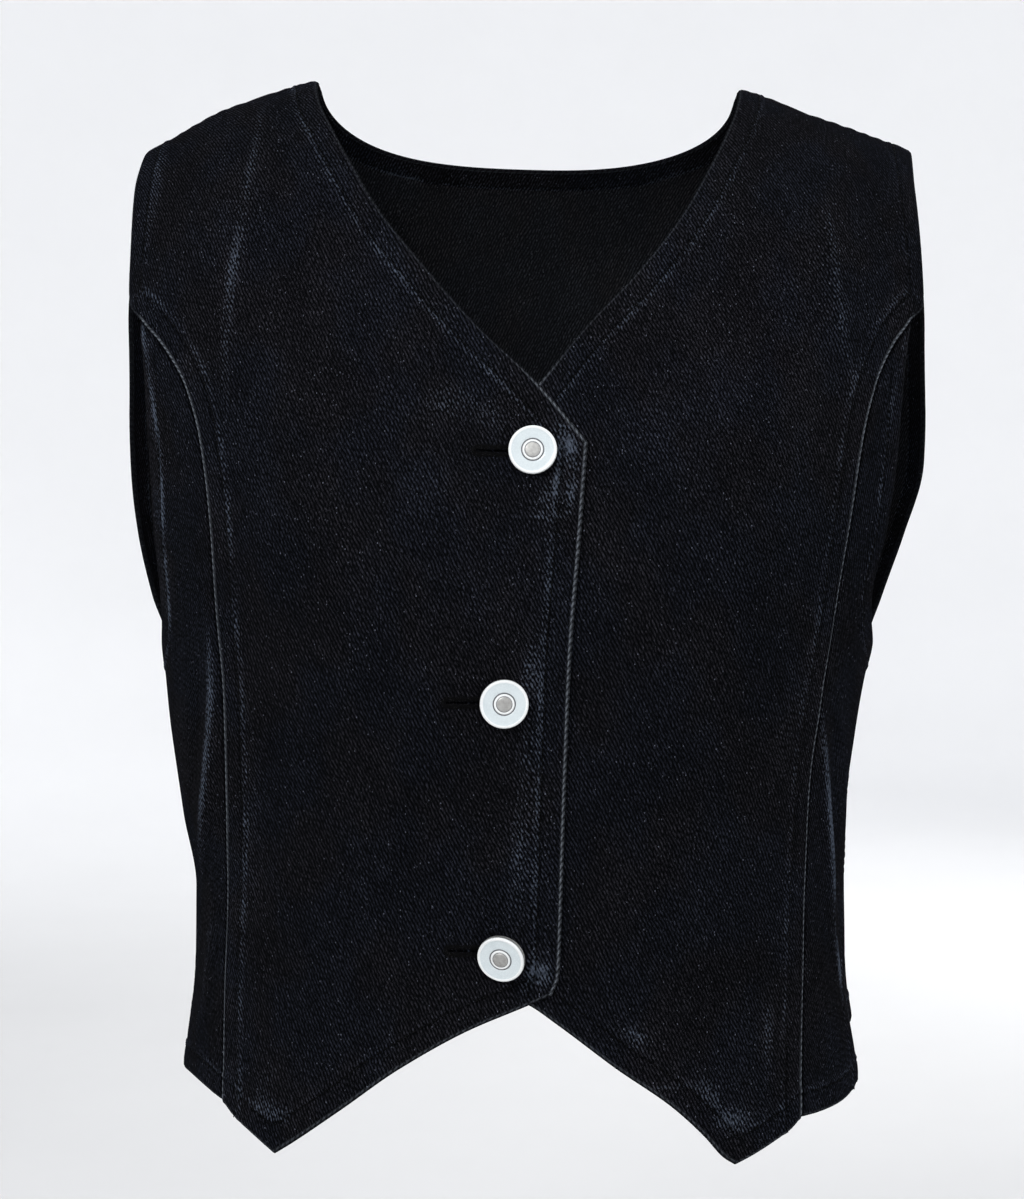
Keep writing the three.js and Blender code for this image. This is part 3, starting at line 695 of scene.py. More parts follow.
@dataclass(eq=False)
class Relief:
    """Everything that lifts the cloth off the plain form: folds, creases and soft waves."""

    form: WornForm
    wave_height: float = 0.35
    waves: Ripples = field(default_factory=lambda: Ripples(seed=11, scale=70))
    crumple: Ripples = field(default_factory=lambda: Ripples(seed=23, scale=24))

    def __post_init__(self) -> None:
        """Works out the creases' crests."""
        self._lines = {half: [(row, self._line(row, half)) for row in CREASES[half]] for half in Half}

    def _line(self, crease: Crease, half: Half) -> Array:
        """Returns a crease's crest on one half as places on the cloth, in its run and rise.

        Args:
            crease: the crease.
            half: the half that it is on.

        Returns:
            The crest's points, from end to end.
        """
        x = np.array([crease.from_x, crease.to_x])
        z = np.array([crease.from_z, crease.to_z])
        turn = self.form.turn_at(x, z, half)
        ends = np.stack([self.form.across(turn, z, half), self.form.rise(turn, z)], axis=-1)
        along = ends[1] - ends[0]
        side = np.array([-along[1], along[0]]) / np.linalg.norm(along)
        t = np.linspace(0, 1, 40)[:, None]
        return ends[0] + along * t + side * crease.bow * 4 * t * (1 - t)

    @staticmethod
    def folds(half: Half, x: Array, z: Array) -> Array:
        """Returns the height of the main folds at some places seen from the front.

        Args:
            half: the half that the folds are on.
            x: distances from the centre.
            z: heights.

        Returns:
            How far the cloth is lifted.
        """
        total = np.zeros_like(x)
        for fold in FOLDS[half]:
            along = np.array([fold.to_x - fold.from_x, fold.to_z - fold.from_z])
            place = np.stack([x - fold.from_x, z - fold.from_z], axis=-1)
            share = np.clip(place @ along / (along @ along), 0, 1)
            away = np.linalg.norm(place - share[..., None] * along, axis=-1) / fold.width
            taper = mix(FOLD_END, 1, np.sin(math.pi * share))
            total += fold.height * taper * np.exp(-away * away)
        return total

    def creases(self, half: Half, run: Array, rise: Array) -> tuple[Array, Array]:
        """Returns the height of the small creases, and the wear on them, at some places of the cloth.

        Args:
            half: the half that the cloth is on.
            run: distances round the form from the middle of that half.
            rise: heights along the cloth.

        Returns:
            How far the cloth is lifted, and its wear from 0 to 1.
        """
        place = np.stack([run, rise], axis=-1).reshape(-1, 2)
        height, wear = np.zeros(len(place)), np.zeros(len(place))
        for crease, line in self._lines[half]:
            low, high = line.min(axis=0) - 4 * crease.width, line.max(axis=0) + 4 * crease.width
            near = np.flatnonzero(((place > low) & (place < high)).all(axis=1))
            if not len(near):
                continue
            gaps = np.linalg.norm(place[near][:, None] - line[None], axis=2)
            share = gaps.argmin(axis=1) / (len(line) - 1)
            away = gaps.min(axis=1) / crease.width
            taper = np.sin(math.pi * np.clip(share, 0.02, 0.98)) ** 0.6
            height[near] += crease.height * taper * np.exp(-away * away)
            wear[near] += crease.wear * taper * np.exp(-3.4 * away * away)
        return height.reshape(run.shape), wear.reshape(run.shape)


def patch_grid(
    start: Edge, end: Edge, bottom: Edge, top: Edge, columns: Array, rows: Array, bend: float
) -> Array:
    """Fills a four-sided patch between its edges.

    Args:
        start: the edge at column 0, from row shares to pairs of coordinates.
        end: the edge at column 1.
        bottom: the edge at row 0, from column shares to pairs of coordinates.
        top: the edge at row 1.
        columns: shares of the width.
        rows: shares of the height.
        bend: how quickly the bottom and top edges fade into the rows between.

    Returns:
        The pairs of coordinates, by row and column.
    """
    across = columns[None, :, None]

    def between(at: Array) -> Array:
        """Returns the straight line between both side edges at some rows."""
        return mix(start(at)[:, None], end(at)[:, None], across)

    ends = between(np.array([0.0, 1.0]))
    low = (1 - rows[:, None, None]) ** bend * (bottom(columns) - ends[0])[None]
    high = rows[:, None, None] ** bend * (top(columns) - ends[1])[None]
    return between(rows) + low + high


def grid_quads(index: Array) -> Array:
    """Returns the corners of the faces between the points of a grid."""
    corners = (index[:-1, :-1], index[:-1, 1:], index[1:, 1:], index[1:, :-1])
    return np.stack(corners, axis=-1).reshape(-1, 4)


def pair(first: Array, second: Array) -> Array:
    """Returns two lists of numbers as pairs."""
    first, second = np.broadcast_arrays(first, second)
    return np.stack([first, second], axis=-1).astype(float)


EDGE_STEPS = (
    0, 0.25, 0.6, 1.0, 1.5, 2.1, 2.9, 4.0, 5.2, 6.4, 7.3, 7.9, 8.4, 8.9, 9.4, 9.9, 10.5, 11.4, 12.6, 14.0,
)


def graded(length: float, step: float) -> Array:
    """Returns distances from 0 to a length: close together at both ends, and even between.

    Args:
        length: the whole length.
        step: the spacing between the ends.

    Returns:
        The distances, in order.
    """
    low, high = EDGE_STEPS[-1], length - EDGE_STEPS[-1]
    count = max(2, round((high - low) / step))
    middle = np.linspace(low, high, count + 1)[1:-1]
    return np.concatenate([EDGE_STEPS, middle, length - np.asarray(EDGE_STEPS)[::-1]])


@dataclass
class Span:
    """A stretch of one border of a panel, and how the cloth ends there.

    The rope is the pale hatched line that wear leaves on the fold of an edge, the ridge is the pale line over
    the inner side of its turned or pressed cloth. A rope with a rope_fade dies out over that length, and
    where a turning is narrow, its ridge starts close to the edge and has its full width after that length.
    """

    name: str
    border: Border
    finish: Finish
    first: float = 0.0
    last: float = 1.0
    rope: float = 0.0
    ridge: float = 0.3
    rope_fade: float = 0.0
    narrow: float = 0.0
    gap: Array | None = field(default=None, repr=False)
    along: Array | None = field(default=None, repr=False)


class Nearest:
    """Finds the distance from grid points to a line on the cloth, and the nearest place's run along it."""

    REACH = 26.0
    CHUNK = 2000

    def __init__(self, line: Array) -> None:
        """Lays close points along a line."""
        lengths = np.concatenate([[0], np.cumsum(np.linalg.norm(np.diff(line, axis=0), axis=1))])
        self.at = np.linspace(0, lengths[-1], max(2, int(lengths[-1] / 0.4)))
        self.line = np.stack([np.interp(self.at, lengths, line[:, i]) for i in range(3)], axis=-1)

    @staticmethod
    def _gaps(points: Array, line: Array) -> tuple[Array, Array]:
        """Returns the nearest distance of each point to the line's points, and its index."""
        square = (points**2).sum(1)[:, None] + (line**2).sum(1)[None] - 2 * points @ line.T
        index = square.argmin(axis=1)
        return np.sqrt(np.maximum(square[np.arange(len(points)), index], 0)), index

    def measure(self, grid: Array) -> tuple[Array, Array]:
        """Returns each point's distance to the line, and its place along the line.

        Args:
            grid: points by row and column.

        Returns:
            Both, by row and column. A point out of reach has 99 and 0.
        """
        points = grid.reshape(-1, 3)
        gap = np.full(len(points), 99.0)
        along = np.zeros(len(points))
        rough = self._gaps(points, self.line[::12])[0]
        near = np.flatnonzero(rough < self.REACH)
        for first in range(0, len(near), self.CHUNK):
            some = near[first : first + self.CHUNK]
            gap[some], index = self._gaps(points[some], self.line)
            along[some] = self.at[index]
        return gap.reshape(grid.shape[:2]), along.reshape(grid.shape[:2])


@dataclass
class Track:
    """A line on a panel, with the outward directions along it."""

    points: Array
    out: Array


@dataclass(frozen=True)
class EdgeShape:
    """Heights and widths of what turned, lapped and tucked edges do to the cloth."""

    doubled: float = 0.3
    turned_ridge: float = 0.22
    lapped_ridge: float = 0.24
    ridge_width: float = 0.9
    turned_sink: float = 0.26  # under the stitches
    lapped_sink: float = 0.2
    sink_width: float = 0.5
    turned_round: float = 0.42  # rounding of the fold, and how far in it goes
    turned_reach: float = 1.1
    lapped_round: float = 0.45
    lapped_reach: float = 0.7
    tucked_round: float = 0.6
    tucked_reach: float = 1.7
    swell: float = 0.36  # of a lapped fold
    swell_at: float = 1.0
    swell_width: float = 0.7
    hem_inside: float = 0.72
    pucker: float = 0.2
    pucker_pitch: float = 7.3
    pucker_sway: float = 1.7
    pucker_reach: float = 9.0


@dataclass(eq=False)
class Panel:
    """One cut piece of denim as a closed wall of cloth over the worn form."""

    relief: Relief
    name: str = ""
    spans: list[Span] = field(default_factory=list)
    shaped: EdgeShape = EdgeShape()
    half: ClassVar[Half] = Half.FRONT
    on_front: ClassVar[bool] = False

    def __post_init__(self) -> None:
        """Takes over the form, and waits for its layout."""
        self.form = self.relief.form
        self.rows = np.zeros(0)
        self.columns = np.zeros(0)

    def layout(self) -> Array:
        """Returns the panel's places as signed section angles and heights, by row and column."""
        raise NotImplementedError

    def lift(self, x: Array) -> Array:
        """Returns how far this panel stands out over the one under it."""
        return np.zeros_like(x)

    def on_span(self, span: Span) -> Array:
        """Returns which of the grid's lines start on a span of its border."""
        shares = self.rows if span.border in (Border.START, Border.END) else self.columns
        return (shares >= span.first - EDGE_SLACK) & (shares <= span.last + EDGE_SLACK)

    @staticmethod
    def inward(span: Span, *grids: Array) -> list[Array]:
        """Turns grids so that their lines run inward from a span's border.

        Args:
            span: a stretch of the border.
            grids: values by row and column.

        Returns:
            The grids, in the same order.
        """
        by_row = span.border in (Border.START, Border.END)
        turned = [grid if by_row else np.swapaxes(grid, 0, 1) for grid in grids]
        return [grid[:, ::-1] for grid in turned] if span.border in (Border.END, Border.TOP) else turned

    def border_line(self, grid: Array, span: Span) -> Array:
        """Returns the points of a grid along a span of its border."""
        return self.inward(span, grid)[0][self.on_span(span), 0]

    def inset(self, grid: Array) -> Array:
        """Returns the grid with its seam borders pulled in by half a seam's gap.

        Args:
            grid: points by row and column.

        Returns:
            The same points, with those of the seam borders moved.
        """
        moved = grid.copy()
        for span in self.spans:
            if span.finish is Finish.TURNED:
                continue
            on = self.on_span(span)
            lines, pulled = self.inward(span, grid, moved)
            pull = lines[on, 1] - lines[on, 0]
            length = np.linalg.norm(pull, axis=-1, keepdims=True)
            pulled[on, 0] += pull / np.maximum(length, 1e-6) * np.minimum(SEAM_GAP / 2, length / 2)
        return moved

    def gap_to(self, finish: Finish) -> Array:
        """Returns the distance of every grid point to the nearest border of one finish."""
        return np.min([span.gap for span in self.spans if span.finish is finish], axis=0)

    def gap_past(self, span: Span) -> Array:
        """Returns the distance of every grid point to the nearest border other than a span."""
        return np.min([other.gap for other in self.spans if other is not span], axis=0)

    def shape(self) -> None:
        """Works out the outer and inner points of the cloth, and its masks of wear, painted light and painted
        shade.
        """
        places_on = self.layout()
        self.turn, z = places_on[..., 0], places_on[..., 1]
        on = self.form.point(self.turn, z)
        self.out = self.form.normal(self.turn, z)
        self.run, self.rise = self.form.across(self.turn, z, self.half), self.form.rise(self.turn, z)
        crease, crease_wear = self.relief.creases(self.half, self.run, self.rise)
        soft = self.relief.folds(self.half, on[..., 0], z) + self.lift(on[..., 0]) + crease
        soft = soft + self.relief.wave_height * self.relief.waves(self.run, self.rise)
        calm = self.inset(on + self.out * soft[..., None])
        for span in self.spans:
            span.gap, span.along = Nearest(self.border_line(calm, span)).measure(calm)
        outer, inner = self.edge_relief()
        self.outer = calm + self.out * outer[..., None]
        self.inner = calm + self.out * (inner - CLOTH)[..., None]
        self.paint(crease_wear)

    def edge_relief(self) -> tuple[Array, Array]:
        """Works out the turnings, ridges and puckers of the edges.

        Returns:
            How far they move the outer face, and how far the inner face.
        """
        turned, lapped, tucked = (self.gap_to(finish) for finish in Finish)
        by = self.shaped
        outer = by.doubled * (1 - smoothstep(turned, TURN_IN - 0.5, TURN_IN + 1.2))
        sunk = by.turned_sink * bell(turned, STITCH_IN, by.sink_width)
        outer += by.turned_ridge * bell(turned, TURN_IN, by.ridge_width) - sunk
        outer -= by.turned_round * (1 - smoothstep(turned, 0, by.turned_reach))
        outer += by.doubled * (1 - smoothstep(lapped, ALLOWANCE - 1, ALLOWANCE + 0.6))
        swell = by.swell * bell(lapped, by.swell_at, by.swell_width)
        outer += by.lapped_ridge * bell(lapped, ALLOWANCE - 0.4, by.ridge_width) + swell
        sunk = by.lapped_sink * bell(lapped, STITCH_IN + 0.4, by.sink_width)
        outer -= by.lapped_round * (1 - smoothstep(lapped, 0, by.lapped_reach)) + sunk
        outer -= by.tucked_round * (1 - smoothstep(tucked, 0, by.tucked_reach))
        pucker = np.zeros_like(outer)
        for span in self.spans:
            sway = by.pucker_sway * self.relief.crumple(span.along, span.gap)
            wave = np.sin(2 * math.pi * span.along / by.pucker_pitch + sway)
            reach = np.exp(-((span.gap / by.pucker_reach) ** 2)) * smoothstep(span.gap, 0.6, 4)
            pucker = np.maximum(pucker, 0) + by.pucker * wave * reach
        outer += pucker
        inner = pucker - by.hem_inside * (1 - smoothstep(turned, TURN_IN - 0.25, TURN_IN + 0.25))
        return outer, inner

    def paint(self, crease_wear: Array) -> None:
        """Works out the masks: general wear, which on the fronts also holds painted light on the upper chest;
        rope, the worn fold of an edge; deep, a darkening in the stitch and seam grooves and at the edges,
        partly unwashed dye and partly painted shade.

        Args:
            crease_wear: the wear on the crests of the creases.
        """
        x, z = self.outer[..., 0], self.outer[..., 2]
        fade, deep, rope, hatch = crease_wear.copy(), np.zeros_like(x), np.zeros_like(x), np.zeros_like(x)
        for span in self.spans:
            uneven = 0.9 + 0.28 * self.relief.crumple(span.along * 1.3, span.gap * 0.4 + 40)
            width = TURN_IN if span.finish is Finish.TURNED else ALLOWANCE
            if span.narrow:
                width = width * (0.12 + 0.88 * smoothstep(span.along, 0, span.narrow))
            if span.finish is not Finish.TUCKED:
                fade += span.ridge * uneven * bell(span.gap, width, 1.5)
                between = smoothstep(span.gap, 1.5, 3) * (1 - smoothstep(span.gap, 8, 11))
                fade += 0.3 * span.ridge * uneven * between
                # Painted shade in the groove under the row of stitches, partly dye that washing misses there.
                deep += 0.8 * bell(span.gap, STITCH_IN - 0.2, 0.55)
            reach = 0.95 if span.finish is Finish.LAPPED else 0.6
            strip = span.rope * (1 - smoothstep(span.gap, reach, reach + 0.5))
            if span.rope_fade:
                strip *= 0.15 + 0.85 * (1 - smoothstep(span.along, 0.4 * span.rope_fade, span.rope_fade))
            hatch = np.where(strip > rope, span.along + 1.6 * span.gap, hatch)
            rope = np.maximum(rope, strip)
            # Painted shade at the cloth's edge: in the groove of a tucked seam, and where a fold turns away.
            groove = 1.5 if span.finish is Finish.TUCKED else 0.5
            deep += 1 - smoothstep(span.gap, 0.25 * groove, groove)
        if self.on_front:
            # Worn patches, and on the upper chest two patches of painted light.
            for spot in WORN_AND_LIT_PATCHES:
                lean = math.radians(spot.lean)
                dx, dz = x - spot.x, z - spot.z
                long = (dx * math.cos(lean) + dz * math.sin(lean)) / spot.long
                short = (dz * math.cos(lean) - dx * math.sin(lean)) / spot.short
                fade += spot.wear * np.exp(-(long**2) - short**2)
        self.masks = {
            "fade": np.clip(fade, 0, 1),
            "deep": np.clip(deep, 0, 1),
            "rope": np.clip(rope, 0, 1),
            "hatch": hatch * MM,
        }

    def mesh(self, finishes: Sequence[Material]) -> Piece:
        """Builds the panel's closed mesh.

        Args:
            finishes: the materials of the outer face and of the inner face.

        Returns:
            The panel's object, with its UV map and its masks of wear, painted light and painted shade.
        """
        count_rows, count_columns = self.turn.shape
        size = count_rows * count_columns
        loop = self.rim_loop(count_rows, count_columns)
        outward = self.rim_direction(loop)
        rim = (self.outer.reshape(-1, 3)[loop] + self.inner.reshape(-1, 3)[loop]) / 2 + outward
        points = np.concatenate([self.outer.reshape(-1, 3), self.inner.reshape(-1, 3), rim]) * MM
        index = np.arange(size).reshape(count_rows, count_columns)
        quads = grid_quads(index)
        after = np.roll(loop, -1)
        ring = 2 * size + np.arange(len(loop))
        ring_after = np.roll(ring, -1)
        upper = np.stack([loop, ring, ring_after, after], axis=-1)
        lower = np.stack([ring, loop + size, after + size, ring_after], axis=-1)
        faces = np.concatenate([quads, quads[:, ::-1] + size, upper, lower])
        if not self.faces_out(quads):
            faces = faces[:, ::-1]
        made = new_mesh(self.name, points, faces)
        for finish in finishes:
            made.materials.append(finish)
        reverse = np.zeros(len(faces), int)
        turned = self.gap_to(Finish.TURNED).reshape(-1)
        bare = turned[quads].min(axis=1) > TURN_IN - 0.1
        reverse[len(quads) : 2 * len(quads)] = bare
        made.polygons.foreach_set("material_index", reverse)
        self.write_masks(made, loop)
        return show(made)

    def write_masks(self, made: Mesh, loop: Array) -> None:
        """Writes the UV map and the masks onto the mesh, for the outer face, the inner face and the rim.

        Args:
            made: the panel's mesh.
            loop: the indices of the grid's border points.
        """
        def spread(values: Array) -> Array:
            """Returns a mask's values for every vertex of the mesh."""
            flat = values.reshape(-1)
            return np.concatenate([flat, flat, flat[loop]])

        write_uv(made, np.stack([spread(self.run), spread(self.rise)], axis=-1) * MM)
        for name, values in self.masks.items():
            layer = made.attributes.new(name, "FLOAT", "POINT")
            layer.data.foreach_set("value", spread(values).astype(np.float32))

    @staticmethod
    def rim_loop(count_rows: int, count_columns: int) -> Array:
        """Returns the indices of a grid's border points, once round."""
        index = np.arange(count_rows * count_columns).reshape(count_rows, count_columns)
        return np.concatenate([index[0, :-1], index[:-1, -1], index[-1, :0:-1], index[:0:-1, 0]])

    def rim_direction(self, loop: Array) -> Array:
        """Returns how far the middle of the cloth's edge bulges out at each border point.

        Args:
            loop: the indices of the grid's border points.

        Returns:
            A direction and distance for each.
        """
        calm = self.outer.reshape(-1, 3)
        edge = calm[np.roll(loop, -1)] - calm[np.roll(loop, 1)]
        aside = np.cross(edge, self.out.reshape(-1, 3)[loop])
        aside /= np.maximum(np.linalg.norm(aside, axis=1, keepdims=True), 1e-9)
        middle = calm[loop].mean(axis=0)
        sign = np.sign(((calm[loop] - middle) * aside).sum(axis=1).sum())
        bulge = np.where(self.gap_to(Finish.TURNED).reshape(-1)[loop] < 0.5, 0.4, 0.17)
        return aside * sign * bulge[:, None]

    def faces_out(self, quads: Array) -> bool:
        """Finds out which way the grid's faces wind.

        Args:
            quads: the corners of the grid's faces.

        Returns:
            True where they face outward.
        """
        flat = self.outer.reshape(-1, 3)
        some = quads[len(quads) // 2]
        facing = np.cross(flat[some[1]] - flat[some[0]], flat[some[3]] - flat[some[0]])
        return float(facing @ self.out.reshape(-1, 3)[some[0]]) > 0

    def track(self, span: Span, distance: float, trim: float = 0.0, sink: float = 0.0) -> Track:
        """Returns the line that runs at a distance from a span of the border, on the outer face.

        Args:
            span: the stretch of border that the line follows.
            distance: from the border to the line, along the cloth.
            trim: the line stops this near the panel's other turned or sewn edges.
            sink: how far the line lies under the outer face.

        Returns:
            The line's points, with the outward directions there.
        """
        layers = (span.gap, self.outer - self.out * sink, self.out, self.gap_past(span))
        gap, face, out, away = self.inward(span, *layers)
        points, outs = [], []
        for line in np.flatnonzero(self.on_span(span)):
            past = np.flatnonzero(gap[line] >= distance)
            if not len(past) or past[0] == 0:
                continue
            j = past[0]
            share = (distance - gap[line, j - 1]) / max(gap[line, j] - gap[line, j - 1], 1e-6)
            if mix(away[line, j - 1], away[line, j], share) < trim:
                continue
            points.append(mix(face[line, j - 1], face[line, j], share))
            outs.append(mix(out[line, j - 1], out[line, j], share))
        return Track(np.array(points), np.array(outs))

    def cut_size(self) -> tuple[tuple[float, float], float]:
        """Measures the cloth that this panel is cut from.

        The area counts the turnings of its edges. Its seam allowances are pieces of their own.

        Returns:
            The width and length in metres, and the area in square metres.
        """
        wide, tall = np.ptp(self.run) + 2 * ALLOWANCE, np.ptp(self.rise) + 2 * ALLOWANCE
        a = self.outer[1:, 1:] - self.outer[:-1, :-1]
        b = self.outer[1:, :-1] - self.outer[:-1, 1:]
        net = np.linalg.norm(np.cross(a, b), axis=-1).sum() / 2
        turned = [self.border_line(self.outer, span) for span in self.spans if span.finish is Finish.TURNED]
        hemmed = sum(np.linalg.norm(np.diff(line, axis=0), axis=1).sum() for line in turned)
        return (wide * MM, tall * MM), (net + hemmed * ALLOWANCE) * MM * MM


def new_mesh(name: str, points: Array, faces: Sequence) -> Mesh:
    """Makes a smooth mesh.

    Args:
        name: its name.
        points: places in metres.
        faces: the indices of each face's corners.

    Returns:
        The mesh.
    """
    made = bpy.data.meshes.new(name)
    made.from_pydata(np.asarray(points).tolist(), [], np.asarray(faces).tolist())
    made.polygons.foreach_set("use_smooth", np.ones(len(made.polygons), bool))
    made.update()
    return made


def write_uv(made: Mesh, places_on: Array) -> None:
    """Writes the cloth's UV map.

    Args:
        made: the mesh.
        places_on: a pair of coordinates for every vertex.
    """
    corners = np.zeros(len(made.loops), int)
    made.loops.foreach_get("vertex_index", corners)
    made.uv_layers.new(name=CLOTH_UV).data.foreach_set("uv", places_on[corners].reshape(-1))


def show(made: Mesh) -> Piece:
    """Returns an object of the mesh's name, linked into the scene."""
    thing = bpy.data.objects.new(made.name, made)
    bpy.context.scene.collection.objects.link(thing)
    return thing


HEM_ROWS, NECK_ROWS, STRAP_ROWS = 18, 6, 12
SEAM_ROWS = HEM_ROWS + NECK_ROWS
FRONT_ROWS = SEAM_ROWS + STRAP_ROWS
VENT_ROWS = 3
CORNER_LEVEL = -152.0
JUNCTION_LEVEL = -100.0


def row_height(row: Array, hem: float, corner: float, shoulder: float) -> Array:
    """Returns the height at a row of a front's edges, which all panels share along their seams.

    Args:
        row: shares of a front's height.
        hem: the edge's lowest height.
        corner: its height at the corner of the neckline.
        shoulder: its height at the shoulder seam.

    Returns:
        The heights.
    """
    index = np.asarray(row) * FRONT_ROWS
    low = mix(hem, corner, index / HEM_ROWS)
    middle = mix(corner, JUNCTION_LEVEL, (index - HEM_ROWS) / NECK_ROWS)
    lean = np.clip((index - SEAM_ROWS) / STRAP_ROWS, 0, 1) * math.pi / 2
    high = mix(JUNCTION_LEVEL, shoulder, np.sin(lean))
    return np.where(index <= HEM_ROWS, low, np.where(index <= SEAM_ROWS, middle, high))


def outer_edge(side: Side) -> Edge:
    """Returns a front's princess seam and the armhole over it, by rows of the front.

    Args:
        side: the front's side.

    Returns:
        A function from rows to pairs of x and z.
    """
    cut = FRONTS[side]
    seam, arm = Smooth.through(cut.princess, "z", "x"), Smooth.through(cut.armhole, "z", "x")

    def edge(row: Array) -> Array:
        """Returns x and z at some rows."""
        z = row_height(row, cut.princess[0].z, CORNER_LEVEL, cut.armhole[-1].z)
        return pair(np.where(z > JUNCTION_LEVEL, arm(z), seam(z)), z)

    return edge


@dataclass(frozen=True)
class FrontWear:
    """How worn the edges of one front are: the rope on a fold, and the ridges over the turnings."""

    rope: float
    neckline: float
    princess: float
    armhole: float


FRONT_WEAR = {
    Side.RIGHT: FrontWear(rope=0.9, neckline=0.3, princess=0.31, armhole=0.2),
    Side.LEFT: FrontWear(rope=0.2, neckline=0.24, princess=0.23, armhole=0.12),
}


@dataclass(eq=False)
class FrontPanel(Panel):
    """A front: from the front edge and neckline to the princess seam and armhole."""

    side: Side = Side.RIGHT
    low_length: float = 243.0
    neck_length: float = 52.0
    strap_length: float = 138.0
    width: float = 125.0
    on_front: ClassVar[bool] = True

    def __post_init__(self) -> None:
        """Names the front and lists its edges, from the hem up."""
        super().__post_init__()
        corner, junction = HEM_ROWS / FRONT_ROWS, SEAM_ROWS / FRONT_ROWS
        worn = FRONT_WEAR[self.side]
        start, end, turned = Border.START, Border.END, Finish.TURNED
        self.name = f"panel_front_{self.side.word}"
        self.spans = [
            Span("edge", start, turned, 0, corner, rope=worn.rope, ridge=0.32),
            Span("neckline", start, turned, corner, 1, rope=0.9, ridge=worn.neckline, rope_fade=45),
            Span("princess", end, Finish.LAPPED, 0, junction, rope=1.0, ridge=worn.princess),
            Span("armhole", end, turned, junction, 1, rope=0.15, ridge=worn.armhole),
            Span("hem", Border.BOTTOM, turned, rope=0.3, ridge=0.13),
            Span("shoulder", Border.TOP, Finish.TUCKED),
        ]
        self.cut = FRONTS[self.side]

    def lift(self, x: Array) -> Array:
        """Returns how far the lapping front stands out over the one under it."""
        return LAP_LIFT * smoothstep(x, LAP_FROM, LAP_FULL) if self.side is Side.RIGHT else np.zeros_like(x)

    def row_shares(self) -> Array:
        """Spaces the rows.

        Returns:
            Shares of the height, close together at the hem, the corner and the shoulder.
        """
        total = self.low_length + self.neck_length + self.strap_length
        lengths = graded(total, 2.1)
        at = [0, self.low_length, self.low_length + self.neck_length, total]
        shares = np.interp(lengths, at, [0, HEM_ROWS / FRONT_ROWS, SEAM_ROWS / FRONT_ROWS, 1])
        return np.union1d(shares, [HEM_ROWS / FRONT_ROWS, SEAM_ROWS / FRONT_ROWS])

    def layout(self) -> Array:
        """Lays out the panel's grid.

        Returns:
            Its places as signed section angles and heights, by row and column.
        """
        cut = self.cut
        edge_line, neck_line = Smooth.through(cut.edge, "z", "x"), Smooth.through(cut.neckline, "z", "x")
        hem_line, rise_line = Smooth.through(cut.hem, "x", "z"), Smooth.through(cut.rise, "x", "z")
        corner = cut.edge[-1].z
        end = outer_edge(self.side)
        first, last = cut.hem[0].x, cut.rise[-1].x
        point_share = (cut.hem[-1].x - first) / (last - first)

        def start(row: Array) -> Array:
            """Returns the front edge and the neckline."""
            z = row_height(row, cut.edge[0].z, corner, cut.neckline[-1].z)
            return pair(np.where(z > corner, neck_line(z), edge_line(z)), z)

        def bottom(column: Array) -> Array:
            """Returns the hem with its point."""
            x = mix(first, last, column)
            return pair(x, np.where(column <= point_share, hem_line(x), rise_line(x)))

        def top(column: Array) -> Array:
            """Returns the shoulder seam."""
            x = mix(start(np.array([1.0]))[0, 0], end(np.array([1.0]))[0, 0], column)
            return pair(x, self.form.shoulder_top(x))

        steps = graded(self.width, 1.05) / self.width
        self.columns = np.union1d(steps, [point_share])
        self.rows = self.row_shares()
        flat = patch_grid(start, end, bottom, top, self.columns, self.rows, bend=3)
        return pair(self.form.turn_at(flat[..., 0], flat[..., 1], Half.FRONT), flat[..., 1])


